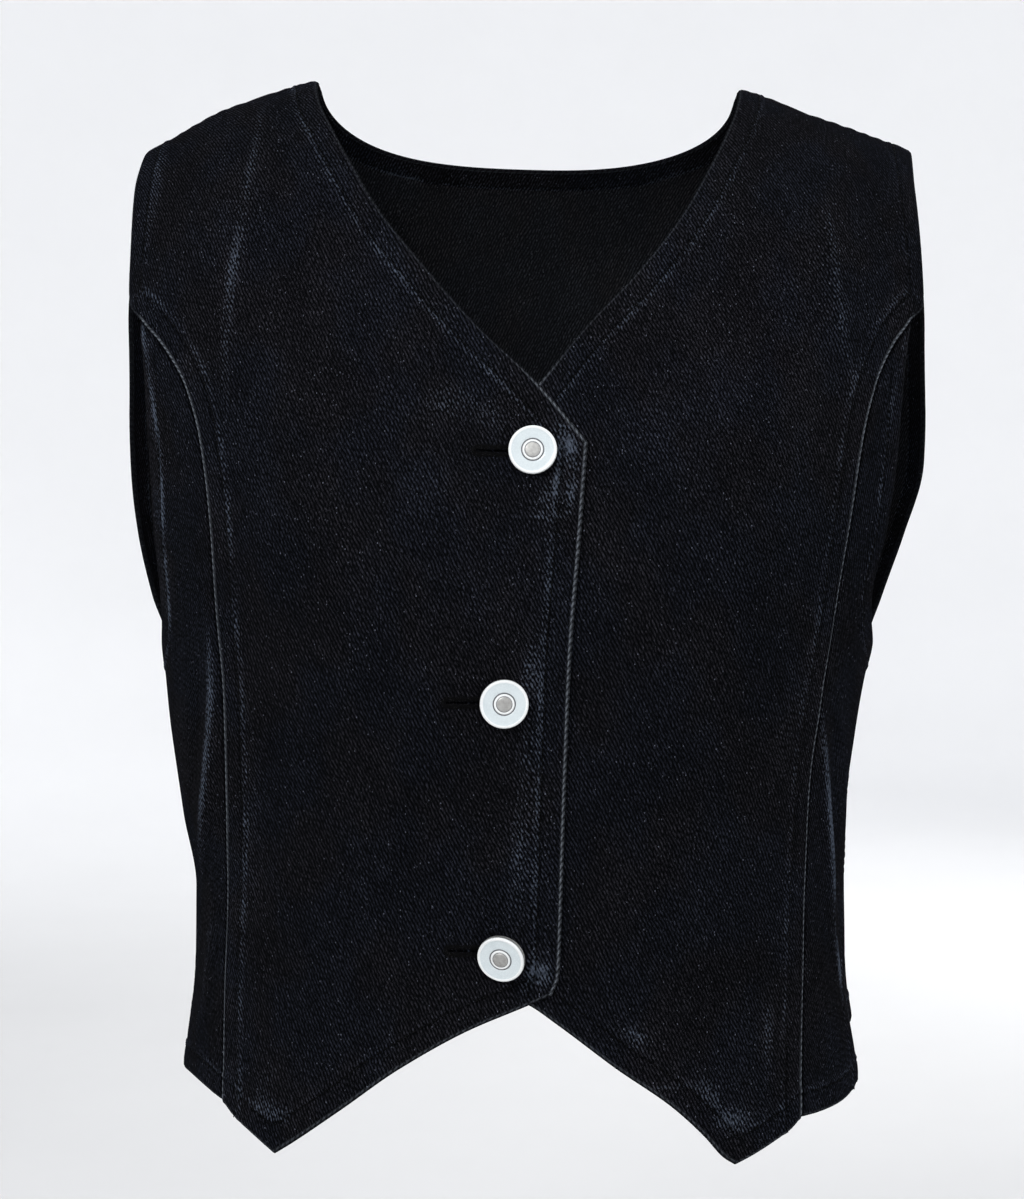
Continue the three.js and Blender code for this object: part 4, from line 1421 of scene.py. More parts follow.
@dataclass(eq=False)
class SidePanel(Panel):
    """A side-front panel: between the princess seam, the side seam and the armhole."""

    side: Side = Side.RIGHT
    width: float = 46.0
    height: float = 296.0

    def __post_init__(self) -> None:
        """Names the panel and lists its edges."""
        super().__post_init__()
        ridge = 0.52 if self.side is Side.RIGHT else 0.24
        self.name = f"panel_side_{self.side.word}"
        self.spans = [
            Span("princess", Border.START, Finish.TUCKED),
            Span("side_seam", Border.END, Finish.LAPPED, rope=0.35, ridge=0.25),
            Span("armhole", Border.TOP, Finish.TURNED, rope=0.1, ridge=ridge, narrow=62),
            Span("hem", Border.BOTTOM, Finish.TURNED, rope=0.2, ridge=0.25),
        ]

    def layout(self) -> Array:
        """Lays out the panel's grid.

        Returns:
            Its places as signed section angles and heights, by row and column.
        """
        scoop = FRONTS[self.side].scoop
        seam_edge = outer_edge(self.side)
        side_seam = Smooth.through(SIDE_SEAMS, "z", self.side.word)
        scoop_turn, scoop_height = (Smooth.through(scoop, "share", name) for name in ("turn", "z"))

        def start(row: Array) -> Array:
            """Returns the princess seam."""
            line = seam_edge(np.asarray(row) * SEAM_ROWS / FRONT_ROWS)
            return pair(np.abs(self.form.turn_at(line[:, 0], line[:, 1], Half.FRONT)), line[:, 1])

        def end(row: Array) -> Array:
            """Returns the side seam."""
            z = mix(SIDE_HEM_Z, UNDERARM_Z, np.asarray(row))
            return pair(side_seam(z), z)

        def bottom(column: Array) -> Array:
            """Returns the hem."""
            ends = mix(start(np.array([0.0])), end(np.array([0.0])), column[:, None])
            return ends + pair(np.zeros_like(column), SIDE_HEM_DIP[self.side] * np.sin(math.pi * column))

        def top(column: Array) -> Array:
            """Returns the armhole, which starts at the princess seam's upper end."""
            line = pair(scoop_turn(column), scoop_height(column))
            miss = start(np.array([1.0])) - line[:1]
            return line + miss * (1 - smoothstep(column, 0, scoop[1].share))[:, None]

        first, deep = scoop[1].share, scoop[5].share
        fine = np.concatenate([np.linspace(0, first, 9), np.linspace(first, deep, 30)])
        edge = 1 - np.array(EDGE_STEPS)[::-1] / self.width
        middle = np.linspace(deep, edge[0], 18)
        self.columns = np.unique(np.concatenate([fine, middle, edge]).round(6))
        self.rows = graded(self.height, 2.0) / self.height
        flat = patch_grid(start, end, bottom, top, self.columns, self.rows, bend=2)
        return pair(flat[..., 0] * self.side.value, flat[..., 1])


@dataclass(eq=False)
class BackPanel(Panel):
    """The back: from side seam to side seam, with the back neckline between both shoulder seams."""

    width: float = 330.0
    height: float = 395.0
    arm_rows: int = 14
    tip_from: float = 0.82  # share of the armhole's height where its edge turns to the shoulder's tip
    neck_from: float = 0.2  # share of the width where the neckline starts
    neck_drop: float = 22.0
    neck_power: float = 2.6
    half: ClassVar[Half] = Half.BACK

    def __post_init__(self) -> None:
        """Names the back and lists its edges."""
        super().__post_init__()
        self.side_rows = SEAM_ROWS - VENT_ROWS
        self.count = self.side_rows + self.arm_rows
        arm, neck = self.side_rows / self.count, self.neck_from
        start, end, top = Border.START, Border.END, Border.TOP
        self.name = "panel_back"
        self.spans = [
            Span("side_seam_right", start, Finish.TUCKED, 0, arm),
            Span("armhole_right", start, Finish.TURNED, arm, 1, rope=0.15, ridge=0.35),
            Span("side_seam_left", end, Finish.TUCKED, 0, arm),
            Span("armhole_left", end, Finish.TURNED, arm, 1, rope=0.15, ridge=0.35),
            Span("hem", Border.BOTTOM, Finish.TURNED, rope=0.3, ridge=0.35),
            Span("shoulder_right", top, Finish.LAPPED, 0, neck, rope=0.4, ridge=0.3),
            Span("neckline", top, Finish.TURNED, neck, 1 - neck, rope=0.15, ridge=0.4),
            Span("shoulder_left", top, Finish.LAPPED, 1 - neck, 1, rope=0.4, ridge=0.3),
        ]

    def edge(self, side: Side) -> Edge:
        """Returns a side seam and the armhole over it, as angles from the centre back and heights.

        Args:
            side: the side of the wearer.

        Returns:
            A function from rows to pairs of angle and height.
        """
        seam, arm = (Smooth.through(rows, "z", side.word) for rows in (SIDE_SEAMS, BACK_ARMHOLE))
        tip = FRONTS[side].armhole[-1]
        tip_turn = np.abs(self.form.turn_at(tip.x, tip.z, Half.BACK))

        def line(row: Array) -> Array:
            """Returns the edge at some rows."""
            index = np.asarray(row) * self.count
            low = mix(SIDE_HEM_Z, UNDERARM_Z, (VENT_ROWS + index) / SEAM_ROWS)
            share = np.sin(np.clip((index - self.side_rows) / self.arm_rows, 0, 1) * math.pi / 2)
            high = mix(UNDERARM_Z, tip.z, share)
            turn = mix(arm(high), tip_turn, smoothstep(share, self.tip_from, 1))
            under = index <= self.side_rows
            return pair(side.value * (180 - np.where(under, seam(low), turn)), np.where(under, low, high))

        return line

    def layout(self) -> Array:
        """Lays out the panel's grid.

        Returns:
            Its places as signed section angles and heights, by row and column.
        """
        start, end = self.edge(Side.RIGHT), self.edge(Side.LEFT)
        neck, half = self.neck_from, self.form.neck_point
        tips = [FRONTS[side].armhole[-1].x for side in Side]

        def bottom(column: Array) -> Array:
            """Returns the hem, a little lower at the centre."""
            ends = mix(start(np.array([0.0])), end(np.array([0.0])), column[:, None])
            return ends - pair(np.zeros_like(column), BACK_HEM_SAG * np.sin(math.pi * column))

        def top(column: Array) -> Array:
            """Returns both shoulder seams with the neckline between them."""
            inner = half * np.sin(np.clip((column - 0.5) / (0.5 - neck), -1, 1) * math.pi / 2)
            right = mix(tips[0], -half, column / neck)
            left = mix(half, tips[1], (column - 1 + neck) / neck)
            x = np.where(column <= neck, right, np.where(column >= 1 - neck, left, inner))
            dip = np.sqrt(np.maximum(0, 1 - (np.abs(x) / half) ** self.neck_power))
            z = self.form.shoulder_top(x) - self.neck_drop * dip
            turn = self.form.turn_at(x, z, Half.BACK)
            return pair(np.where(turn < 0, -180 - turn, 180 - turn), z)

        steps = graded(self.width, 2.0) / self.width
        self.columns = np.union1d(steps, [neck, 1 - neck])
        arm = self.side_rows / self.count
        lengths = graded(self.height, 2.3)
        side_length = UNDERARM_Z - mix(SIDE_HEM_Z, UNDERARM_Z, VENT_ROWS / SEAM_ROWS)
        shares = np.interp(lengths, [0, side_length, self.height], [0, arm, 1])
        self.rows = np.union1d(shares, [arm])
        flat = patch_grid(start, end, bottom, top, self.columns, self.rows, bend=2.5)
        turn = flat[..., 0]
        return pair(np.where(turn < 0, -180 - turn, 180 - turn), flat[..., 1])


class Tree:
    """A small builder of node trees, for shaders and geometry."""

    def __init__(self, tree: bpy.types.NodeTree) -> None:
        """Takes over an empty or a new tree."""
        self.tree = tree

    def add(self, kind: str, settings: dict | None = None, **sockets: object) -> Node:
        """Adds a node and fills its inputs.

        Args:
            kind: the node's type name.
            settings: the node's own properties.
            sockets: its inputs, as feed takes them.

        Returns:
            The new node.
        """
        node = self.tree.nodes.new(kind)
        for name, value in (settings or {}).items():
            setattr(node, name, value)
        self.feed(node, **sockets)
        return node

    def feed(self, node: Node, **sockets: object) -> None:
        """Fills a node's inputs: a socket is linked, and any other value is set.

        Args:
            node: the node.
            sockets: inputs by name, with _ for a space, or by index as i0, i1 and so on.
        """
        for name, value in sockets.items():
            key = int(name[1:]) if name[0] == "i" and name[1:].isdigit() else name.replace("_", " ")
            if isinstance(value, Socket):
                self.tree.links.new(value, node.inputs[key])
            else:
                node.inputs[key].default_value = value

    def math(self, operation: str, *values: object, clamp: bool = False) -> Socket:
        """Adds a Math node and returns its result."""
        inputs = {f"i{i}": value for i, value in enumerate(values)}
        return self.add("ShaderNodeMath", {"operation": operation, "use_clamp": clamp}, **inputs).outputs[0]

    def ramp(self, value: object, low: float, high: float) -> Socket:
        """Adds a smooth step from 0 at low to 1 at high."""
        settings = {"interpolation_type": "SMOOTHSTEP"}
        return self.add("ShaderNodeMapRange", settings, i0=value, i1=low, i2=high, i3=0.0, i4=1.0).outputs[0]

    def blend(self, share: object, low: object, high: object) -> Socket:
        """Adds a colour mix and returns its result."""
        return self.add("ShaderNodeMix", {"data_type": "RGBA"}, i0=share, i6=low, i7=high).outputs[2]

    def stretch(self, place: object, factors: tuple) -> Socket:
        """Adds a vector product and returns its result."""
        return self.add("ShaderNodeVectorMath", {"operation": "MULTIPLY"}, i0=place, i1=factors).outputs[0]

    def noise(self, place: object, scale: float, detail: float) -> Socket:
        """Adds a noise and returns its value."""
        return self.add("ShaderNodeTexNoise", Vector=place, Scale=scale, Detail=detail).outputs[0]

    def bump(self, height: object, strength: float, distance: float) -> Socket:
        """Adds a bump and returns its direction."""
        return self.add("ShaderNodeBump", Height=height, Strength=strength, Distance=distance).outputs[0]


def group(name: str, inputs: dict[str, float], outputs: dict[str, str]) -> tuple[Tree, dict, Node]:
    """Starts a shader node group with named sockets.

    Args:
        name: the group's name.
        inputs: its number inputs, with their first values.
        outputs: its outputs, with their socket types.

    Returns:
        The tree, its inputs by name and its output node.
    """
    tree = bpy.data.node_groups.new(name, "ShaderNodeTree")
    for label, value in inputs.items():
        tree.interface.new_socket(label, in_out="INPUT", socket_type="NodeSocketFloat").default_value = value
    for label, kind in outputs.items():
        tree.interface.new_socket(label, in_out="OUTPUT", socket_type=kind)
    maker = Tree(tree)
    given = maker.add("NodeGroupInput")
    return maker, {label: given.outputs[label] for label in inputs}, maker.add("NodeGroupOutput")


class WeaveGroup:
    """Steep twill lines of short yarn floats, streaks along the warp and pale slubs."""

    LEAN = math.radians(63)  # the twill's lines from level

    def __init__(self) -> None:
        """Builds the group, in the millimetres of the cloth's UV map."""
        floats = dict.fromkeys(("Rib", "Yarn", "Grain", "Speck", "Blotch", "Cloud"), "NodeSocketFloat")
        tree, given, out = group("denim_weave", {"Twill": 1.2, "Slub": 0.17}, floats)
        uv = tree.add("ShaderNodeUVMap", {"uv_map": CLOTH_UV}).outputs[0]
        mm = tree.add("ShaderNodeVectorMath", {"operation": "SCALE"}, i0=uv, Scale=1000.0).outputs[0]
        sway = tree.noise(tree.stretch(mm, (0.13, 0.13, 1)), 1.0, 2)
        axes = tree.add("ShaderNodeSeparateXYZ", i0=mm)
        u = tree.math("ADD", axes.outputs[0], tree.math("MULTIPLY", sway, 1.6))
        v = axes.outputs[1]
        cos, sin = math.cos(self.LEAN), math.sin(self.LEAN)
        across = tree.math("ADD", tree.math("MULTIPLY", u, sin), tree.math("MULTIPLY", v, cos))
        along = tree.math("SUBTRACT", tree.math("MULTIPLY", u, cos), tree.math("MULTIPLY", v, sin))
        line = tree.math("DIVIDE", across, given["Twill"])
        rib = self.wave(tree, line)
        float_place = tree.math("ADD", tree.math("DIVIDE", along, 1.9), tree.math("FLOOR", line))
        floats_up = self.wave(tree, tree.math("MULTIPLY", float_place, 0.63))
        rib = tree.math("MULTIPLY", rib, tree.math("MULTIPLY_ADD", floats_up, 0.45, 0.55))
        yarn = tree.ramp(tree.noise(tree.stretch(mm, (1.7, 0.14, 1)), 1.0, 3), 0.34, 0.68)
        grain = tree.ramp(tree.noise(tree.stretch(mm, (1.25, 0.75, 1)), 1.0, 3), 0.33, 0.7)
        cell = tree.stretch(mm, (0.95, 0.6, 1))
        seeds = tree.add("ShaderNodeTexVoronoi", {"feature": "F1"}, Vector=cell, Scale=1.0)
        chosen = tree.add("ShaderNodeSeparateColor", i0=seeds.outputs["Color"]).outputs[0]
        near = tree.math("LESS_THAN", seeds.outputs["Distance"], given["Slub"])
        speck = tree.math("MULTIPLY", near, tree.ramp(chosen, 0.8, 1.0))
        blotch = tree.noise(tree.stretch(mm, (0.055, 0.028, 1)), 1.0, 3)
        cloud = tree.ramp(tree.noise(tree.stretch(mm, (0.033, 0.024, 1)), 1.0, 2), 0.4, 0.6)
        tree.feed(out, Rib=rib, Yarn=yarn, Grain=grain, Speck=speck, Blotch=blotch, Cloud=cloud)
        self.tree = tree.tree

    @staticmethod
    def wave(tree: Tree, turns: object) -> Socket:
        """Returns a wave from 0 to 1 with one crest a turn."""
        sine = tree.math("SINE", tree.math("MULTIPLY", turns, 2 * math.pi))
        return tree.math("MULTIPLY_ADD", sine, 0.5, 0.5)


class WearGroup:
    """Turns the panels' masks into washed-out wear broken up by the weave, with painted light on the upper
    chest and painted shade in the grooves and at the edges.
    """

    def __init__(self) -> None:
        """Builds the group on the masks that the panels carry."""
        floats = dict.fromkeys(("Worn", "Washed", "Deep", "Rope"), "NodeSocketFloat")
        inputs = {"Rib": 0.5, "Grain": 0.5, "Blotch": 0.5, "Hatch pitch": 2.6}
        tree, given, out = group("denim_wear", inputs, floats)
        fade, deep, rope, hatch = (self.mask(tree, name) for name in ("fade", "deep", "rope", "hatch"))
        turns = tree.math("DIVIDE", tree.math("MULTIPLY", hatch, 1000.0), given["Hatch pitch"])
        ply = tree.ramp(WeaveGroup.wave(tree, turns), 0.12, 0.75)
        uneven = tree.math("MULTIPLY_ADD", tree.ramp(given["Blotch"], 0.3, 0.66), 0.5, 0.5)
        cover = tree.math("MULTIPLY", fade, uneven)
        threads = tree.math("MULTIPLY_ADD", given["Grain"], 0.55, tree.math("MULTIPLY", given["Rib"], 0.45))
        broken = tree.ramp(tree.math("ADD", cover, tree.math("MULTIPLY", threads, 0.75)), 0.53, 1.15)
        broken = tree.math("MULTIPLY", broken, tree.ramp(fade, 0.0, 0.3))
        line = tree.math("MULTIPLY", rope, tree.math("MULTIPLY_ADD", ply, 0.75, 0.25))
        tree.feed(out, Worn=broken, Washed=cover, Deep=deep, Rope=line)
        self.tree = tree.tree

    @staticmethod
    def mask(tree: Tree, name: str) -> Socket:
        """Returns one of the panels' masks."""
        return tree.add("ShaderNodeAttribute", {"attribute_name": name}).outputs["Fac"]


def new_material(name: str) -> tuple[Tree, Node, Material]:
    """Makes a material.

    Args:
        name: the material's name.

    Returns:
        Its node tree, its Principled shader and the material.
    """
    made = bpy.data.materials.new(name)
    made.use_nodes = True
    shader = made.node_tree.nodes["Principled BSDF"]
    return Tree(made.node_tree), shader, made


@dataclass(frozen=True)
class DenimFinish:
    """Washed black-indigo denim, or its reverse."""

    name: str
    dye: Colour
    yarn: Colour
    cast: Colour
    worn: Colour
    slub: Colour
    fold: Colour
    wear: float = 1.0
    roughness: float = 0.9
    sheen: float = 0.003

    def make(self, weave: WeaveGroup, wear: WearGroup) -> Material:
        """Builds the material.

        Args:
            weave: the group that draws the yarns.
            wear: the group that reads the panels' masks.

        Returns:
            The new material.
        """
        tree, shader, made = new_material(self.name)
        cloth = tree.add("ShaderNodeGroup", {"node_tree": weave.tree})
        shared = {name: cloth.outputs[name] for name in ("Rib", "Grain", "Blotch")}
        marks = tree.add("ShaderNodeGroup", {"node_tree": wear.tree}, **shared)
        rib, yarn, grain = (cloth.outputs[name] for name in ("Rib", "Yarn", "Grain"))
        lit = tree.math("MULTIPLY", rib, tree.math("MULTIPLY_ADD", yarn, 0.65, 0.35))
        lit = tree.math("MULTIPLY", lit, tree.math("MULTIPLY_ADD", grain, 1.35, 0.2))
        uneven = tree.math("MULTIPLY_ADD", cloth.outputs["Blotch"], 1.1, 0.4)
        # The wash here also carries the painted light of the upper chest.
        uneven = tree.math("ADD", uneven, tree.math("MULTIPLY", marks.outputs["Washed"], 2.7))
        lit = tree.math("MULTIPLY", lit, uneven, clamp=True)
        colour = tree.blend(lit, self.dye, tree.blend(cloth.outputs["Cloud"], self.yarn, self.cast))
        colour = tree.blend(tree.math("MULTIPLY", marks.outputs["Worn"], self.wear), colour, self.worn)
        colour = tree.blend(tree.math("MULTIPLY", marks.outputs["Rope"], self.wear), colour, self.fold)
        colour = tree.blend(tree.math("MULTIPLY", cloth.outputs["Speck"], 0.75), colour, self.slub)
        # This darkens the cloth past its own dye: painted shade in the stitch and seam grooves and at the
        # edges, partly dye that washing misses.
        depth = tree.math("MULTIPLY", marks.outputs["Deep"], 0.75)
        colour = tree.blend(depth, colour, tuple(0.45 * c for c in self.dye[:3]) + (1.0,))
        rough = tree.math("MULTIPLY_ADD", rib, -0.08, self.roughness)
        height = tree.math("ADD", rib, tree.math("MULTIPLY", yarn, 0.5))
        height = tree.math("ADD", height, tree.math("MULTIPLY", marks.outputs["Rope"], 1.6))
        bump = tree.bump(height, 0.9, 0.00016)
        tree.feed(shader, Base_Color=colour, Roughness=rough, Normal=bump, Specular_IOR_Level=0.0)
        tree.feed(shader, Sheen_Weight=self.sheen, Sheen_Roughness=0.6)
        return made


@dataclass(frozen=True)
class ThreadFinish:
    """Twisted sewing thread."""

    name: str
    colour: Colour

    def make(self) -> Material:
        """Builds the material."""
        tree, shader, made = new_material(self.name)
        place = tree.add("ShaderNodeTexCoord").outputs["Object"]
        bands = {"bands_direction": "DIAGONAL"}
        ply = tree.add("ShaderNodeTexWave", bands, Vector=place, Scale=900.0, Distortion=1.5)
        crest = ply.outputs["Fac"]
        # The crests of the twist are painted paler: a painted highlight, on top of the bump.
        pale = tuple(1.8 * c for c in self.colour[:3]) + (1.0,)
        colour = tree.blend(crest, self.colour, pale)
        bump = tree.bump(crest, 0.5, 0.00008)
        tree.feed(shader, Base_Color=colour, Roughness=0.7, Normal=bump, Specular_IOR_Level=0.01)
        return made


@dataclass(frozen=True)
class EnamelFinish:
    """Glossy enamel over a pressed cap, a little uneven and faintly scuffed."""

    name: str
    colour: Colour
    scuff: Colour
    roughness: float = 0.2

    def make(self) -> Material:
        """Builds the material."""
        tree, shader, made = new_material(self.name)
        place = tree.add("ShaderNodeTexCoord").outputs["Object"]
        cloud, fine = tree.noise(place, 260.0, 4.0), tree.noise(place, 2400.0, 2.0)
        share = tree.math("MULTIPLY", tree.ramp(cloud, 0.45, 0.8), 0.5)
        colour = tree.blend(share, self.colour, self.scuff)
        rough = tree.math("MULTIPLY_ADD", tree.ramp(fine, 0.4, 0.7), 0.14, self.roughness)
        bump = tree.bump(cloud, 0.25, 0.00006)
        tree.feed(shader, Base_Color=colour, Roughness=rough, Normal=bump, Coat_Weight=0.4)
        return made


@dataclass(frozen=True)
class PlateFinish:
    """Plain plated metal with fine mottling and small dents of tone."""

    name: str
    colour: Colour
    dull: Colour
    roughness: float = 0.32

    def make(self) -> Material:
        """Builds the material."""
        tree, shader, made = new_material(self.name)
        place = tree.add("ShaderNodeTexCoord").outputs["Object"]
        cloud = tree.noise(place, 700.0, 4.0)
        colour = tree.blend(tree.ramp(cloud, 0.35, 0.7), self.colour, self.dull)
        rough = tree.math("MULTIPLY_ADD", cloud, 0.25, self.roughness - 0.1)
        bump = tree.bump(cloud, 0.4, 0.00005)
        tree.feed(shader, Base_Color=colour, Metallic=1.0, Roughness=rough, Normal=bump)
        return made


@dataclass(frozen=True)
class StitchKind:
    """Sizes of one kind of stitch, in millimetres, and its slant from the sewing line in degrees."""

    pitch: float
    length: float
    width: float
    height: float
    slant: float = 0.0
    uneven: float = 0.08


class StitchTree:
    """Geometry nodes that lay stitches along the edges of a mesh, upright on its out directions."""

    SIZES = ("Pitch", "Length", "Width", "Height", "Slant", "Uneven")

    def __init__(self) -> None:
        """Builds the tree, with an input for each size and for the thread."""
        tree = bpy.data.node_groups.new("stitch_row", "GeometryNodeTree")
        face = tree.interface
        face.new_socket("Geometry", in_out="INPUT", socket_type="NodeSocketGeometry")
        for label in self.SIZES:
            face.new_socket(label, in_out="INPUT", socket_type="NodeSocketFloat")
        face.new_socket("Thread", in_out="INPUT", socket_type="NodeSocketMaterial")
        face.new_socket("Geometry", in_out="OUTPUT", socket_type="NodeSocketGeometry")
        maker = Tree(tree)
        given = maker.add("NodeGroupInput").outputs
        path = maker.add("GeometryNodeMeshToCurve", Mesh=given["Geometry"]).outputs[0]
        by_length = {"mode": "LENGTH"}
        even = maker.add("GeometryNodeResampleCurve", by_length, Curve=path, Length=given["Pitch"]).outputs[0]
        vectors = {"data_type": "FLOAT_VECTOR"}
        lie = maker.add("GeometryNodeInputNamedAttribute", vectors, Name="lie").outputs[0]
        along = maker.add("GeometryNodeInputTangent").outputs[0]
        aim = {"axis": "Z", "pivot_axis": "AUTO"}
        upright = maker.add("FunctionNodeAlignRotationToVector", aim, Vector=lie).outputs[0]
        aim = {"axis": "X", "pivot_axis": "Z"}
        aimed = maker.add("FunctionNodeAlignRotationToVector", aim, Rotation=upright, Vector=along).outputs[0]
        floats = {"data_type": "FLOAT"}
        jitter = maker.add("FunctionNodeRandomValue", floats, i2=-1.0, i3=1.0, Seed=7).outputs[1]
        spread = maker.math("MULTIPLY", jitter, given["Uneven"])
        lean = maker.math("ADD", given["Slant"], spread)
        angles = maker.add("ShaderNodeCombineXYZ", Z=lean).outputs[0]
        local = {"rotation_space": "LOCAL"}
        slanted = maker.add("FunctionNodeRotateRotation", local, Rotation=aimed, i1=angles).outputs[0]
        bead = maker.add("GeometryNodeMeshUVSphere", Segments=7, Rings=5, Radius=0.5).outputs[0]
        stretch = maker.math("MULTIPLY_ADD", spread, 0.8, 1.0)
        long = maker.math("MULTIPLY", given["Length"], stretch)
        size = maker.add("ShaderNodeCombineXYZ", X=long, Y=given["Width"], Z=given["Height"]).outputs[0]
        laid = maker.add(
            "GeometryNodeInstanceOnPoints", Points=even, Instance=bead, Rotation=slanted, Scale=size
        ).outputs[0]
        real = maker.add("GeometryNodeRealizeInstances", Geometry=laid).outputs[0]
        smooth = maker.add("GeometryNodeSetShadeSmooth", Geometry=real).outputs[0]
        dressed = maker.add("GeometryNodeSetMaterial", Geometry=smooth, Material=given["Thread"]).outputs[0]
        maker.add("NodeGroupOutput", i0=dressed)
        self.tree = tree

    def sew(
        self, name: str, tracks: Sequence[Track], kind: StitchKind, thread: Material
    ) -> Piece:
        """Lays stitches along some lines and returns them as one plain mesh.

        Args:
            name: the name of the new piece.
            tracks: the lines to sew along.
            kind: the stitch.
            thread: its material.

        Returns:
            The new piece.
        """
        points, edges, lies = [], [], []
        for track in tracks:
            if len(track.points) < 2:
                continue
            first = len(points)
            points.extend((track.points * MM).tolist())
            lies.extend(track.out.tolist())
            edges.extend((i, i + 1) for i in range(first, len(points) - 1))
        lines = bpy.data.meshes.new(name + "_lines")
        lines.from_pydata(points, edges, [])
        layer = lines.attributes.new("lie", "FLOAT_VECTOR", "POINT")
        layer.data.foreach_set("vector", np.asarray(lies, np.float32).reshape(-1))
        carrier = show(lines)
        modifier = carrier.modifiers.new("stitches", "NODES")
        modifier.node_group = self.tree
        lengths = (kind.pitch * MM, kind.length * MM, kind.width * MM, kind.height * MM)
        values = (*lengths, math.radians(kind.slant), kind.uneven)
        by_name = dict(zip(self.SIZES, values)) | {"Thread": thread}
        for item in self.tree.interface.items_tree:
            if item.item_type == "SOCKET" and item.in_out == "INPUT" and item.name in by_name:
                modifier[item.identifier] = by_name[item.name]
        ready = carrier.evaluated_get(bpy.context.evaluated_depsgraph_get())
        made = bpy.data.meshes.new_from_object(ready)
        made.name = name
        bpy.data.objects.remove(carrier)
        bpy.data.meshes.remove(lines)
        return show(made)


TOPSTITCH = StitchKind(pitch=3.1, length=2.5, width=0.55, height=0.42)
OVERLOCK = StitchKind(pitch=1.5, length=3.4, width=0.4, height=0.35, slant=62, uneven=0.12)
SATIN = StitchKind(pitch=0.42, length=2.3, width=0.5, height=0.55, slant=90, uneven=0.1)


@dataclass(eq=False)
class SeamAllowance:
    """The doubled strip of cloth that a seam leaves on the inside, a little thinner at its outer edge."""

    name: str
    panel: Panel
    span: Span
    clear: float = 0.12
    thick: float = 0.9
    edge_thick: float = 0.54
    steps: tuple[float, ...] = (0.4, 2.0, 4.0, 6.0, 8.0, 9.4, 10.2)

    def make(self, finish: Material) -> Piece:
        """Builds the strip under the panel's inner face, clear of the turned edges at its ends.

        Args:
            finish: the material of the cloth's reverse.

        Returns:
            The new piece.
        """
        depth = CLOTH + self.clear
        thick = [self.thick] * (len(self.steps) - 1) + [self.edge_thick]
        top = [self.line(step, depth) for step in self.steps]
        low = [self.line(step, depth + more) for step, more in zip(self.steps, thick)]
        top, low = np.stack(top, axis=1), np.stack(low, axis=1)
        rows, columns = top.shape[:2]
        size = rows * columns
        index = np.arange(size).reshape(rows, columns)
        quads = grid_quads(index)
        loop = Panel.rim_loop(rows, columns)
        after = np.roll(loop, -1)
        rim = np.stack([loop, loop + size, after + size, after], axis=-1)
        faces = np.concatenate([quads, quads[:, ::-1] + size, rim])
        points = np.concatenate([top.reshape(-1, 3), low.reshape(-1, 3)]) * MM
        made = new_mesh(self.name, points, faces)
        made.materials.append(finish)
        write_uv(made, points[:, [0, 2]])
        piece = show(made)
        recalculate(piece)
        return piece

    def line(self, step: float, depth: float) -> Array:
        """Finds a line along the seam, where every step's line can be found.

        Args:
            step: from the seam to the line.
            depth: how far the line lies under the outer face.

        Returns:
            The line's points.
        """
        panel, span = self.panel, self.span
        layers = (span.gap, panel.outer - panel.out * depth, panel.gap_past(span))
        gap, face, away = panel.inward(span, *layers)
        kept = panel.on_span(span) & (away[:, 3] > TURN_IN + 0.5)
        lines = np.flatnonzero(kept & (gap.max(axis=1) > self.steps[-1]))
        found = []
        for i in lines:
            j = max(1, int(np.argmax(gap[i] >= step)))
            share = np.clip((step - gap[i, j - 1]) / max(gap[i, j] - gap[i, j - 1], 1e-6), 0, 1)
            found.append(mix(face[i, j - 1], face[i, j], share))
        return np.array(found)


def recalculate(piece: Piece) -> None:
    """Turns a closed mesh's faces outward."""
    work = bmesh.new()
    work.from_mesh(piece.data)
    bmesh.ops.recalc_face_normals(work, faces=work.faces)
    work.to_mesh(piece.data)
    work.free()


class ButtonSpec(NamedTuple):
    """A button's place on the overlap, and how its cap tips on the shank."""

    name: str
    x: float
    z: float
    standoff: float
    tip_across: float
    tip_down: float


BUTTONS = (
    ButtonSpec("top", 1, -155.1, 2.1, -1, 10),
    ButtonSpec("middle", -9.5, -243.1, 2.1, 2, -2),
    ButtonSpec("bottom", -8.8, -332.3, 4.4, -16, 17),
)


class Part(Enum):
    """The finishes of a button's parts, in the order of its materials."""

    ENAMEL = 0
    GROOVE = 1
    PLATE = 2
    RIM = 3


class Step(NamedTuple):
    """A step of a round piece's half profile, and the finish of the band that starts there."""

    radius: float
    height: float
    part: Part


def band(part: Part, *steps: tuple[float, float]) -> tuple[Step, ...]:
    """Returns steps of a half profile, as radius and height, that share one finish."""
    return tuple(Step(radius, height, part) for radius, height in steps)


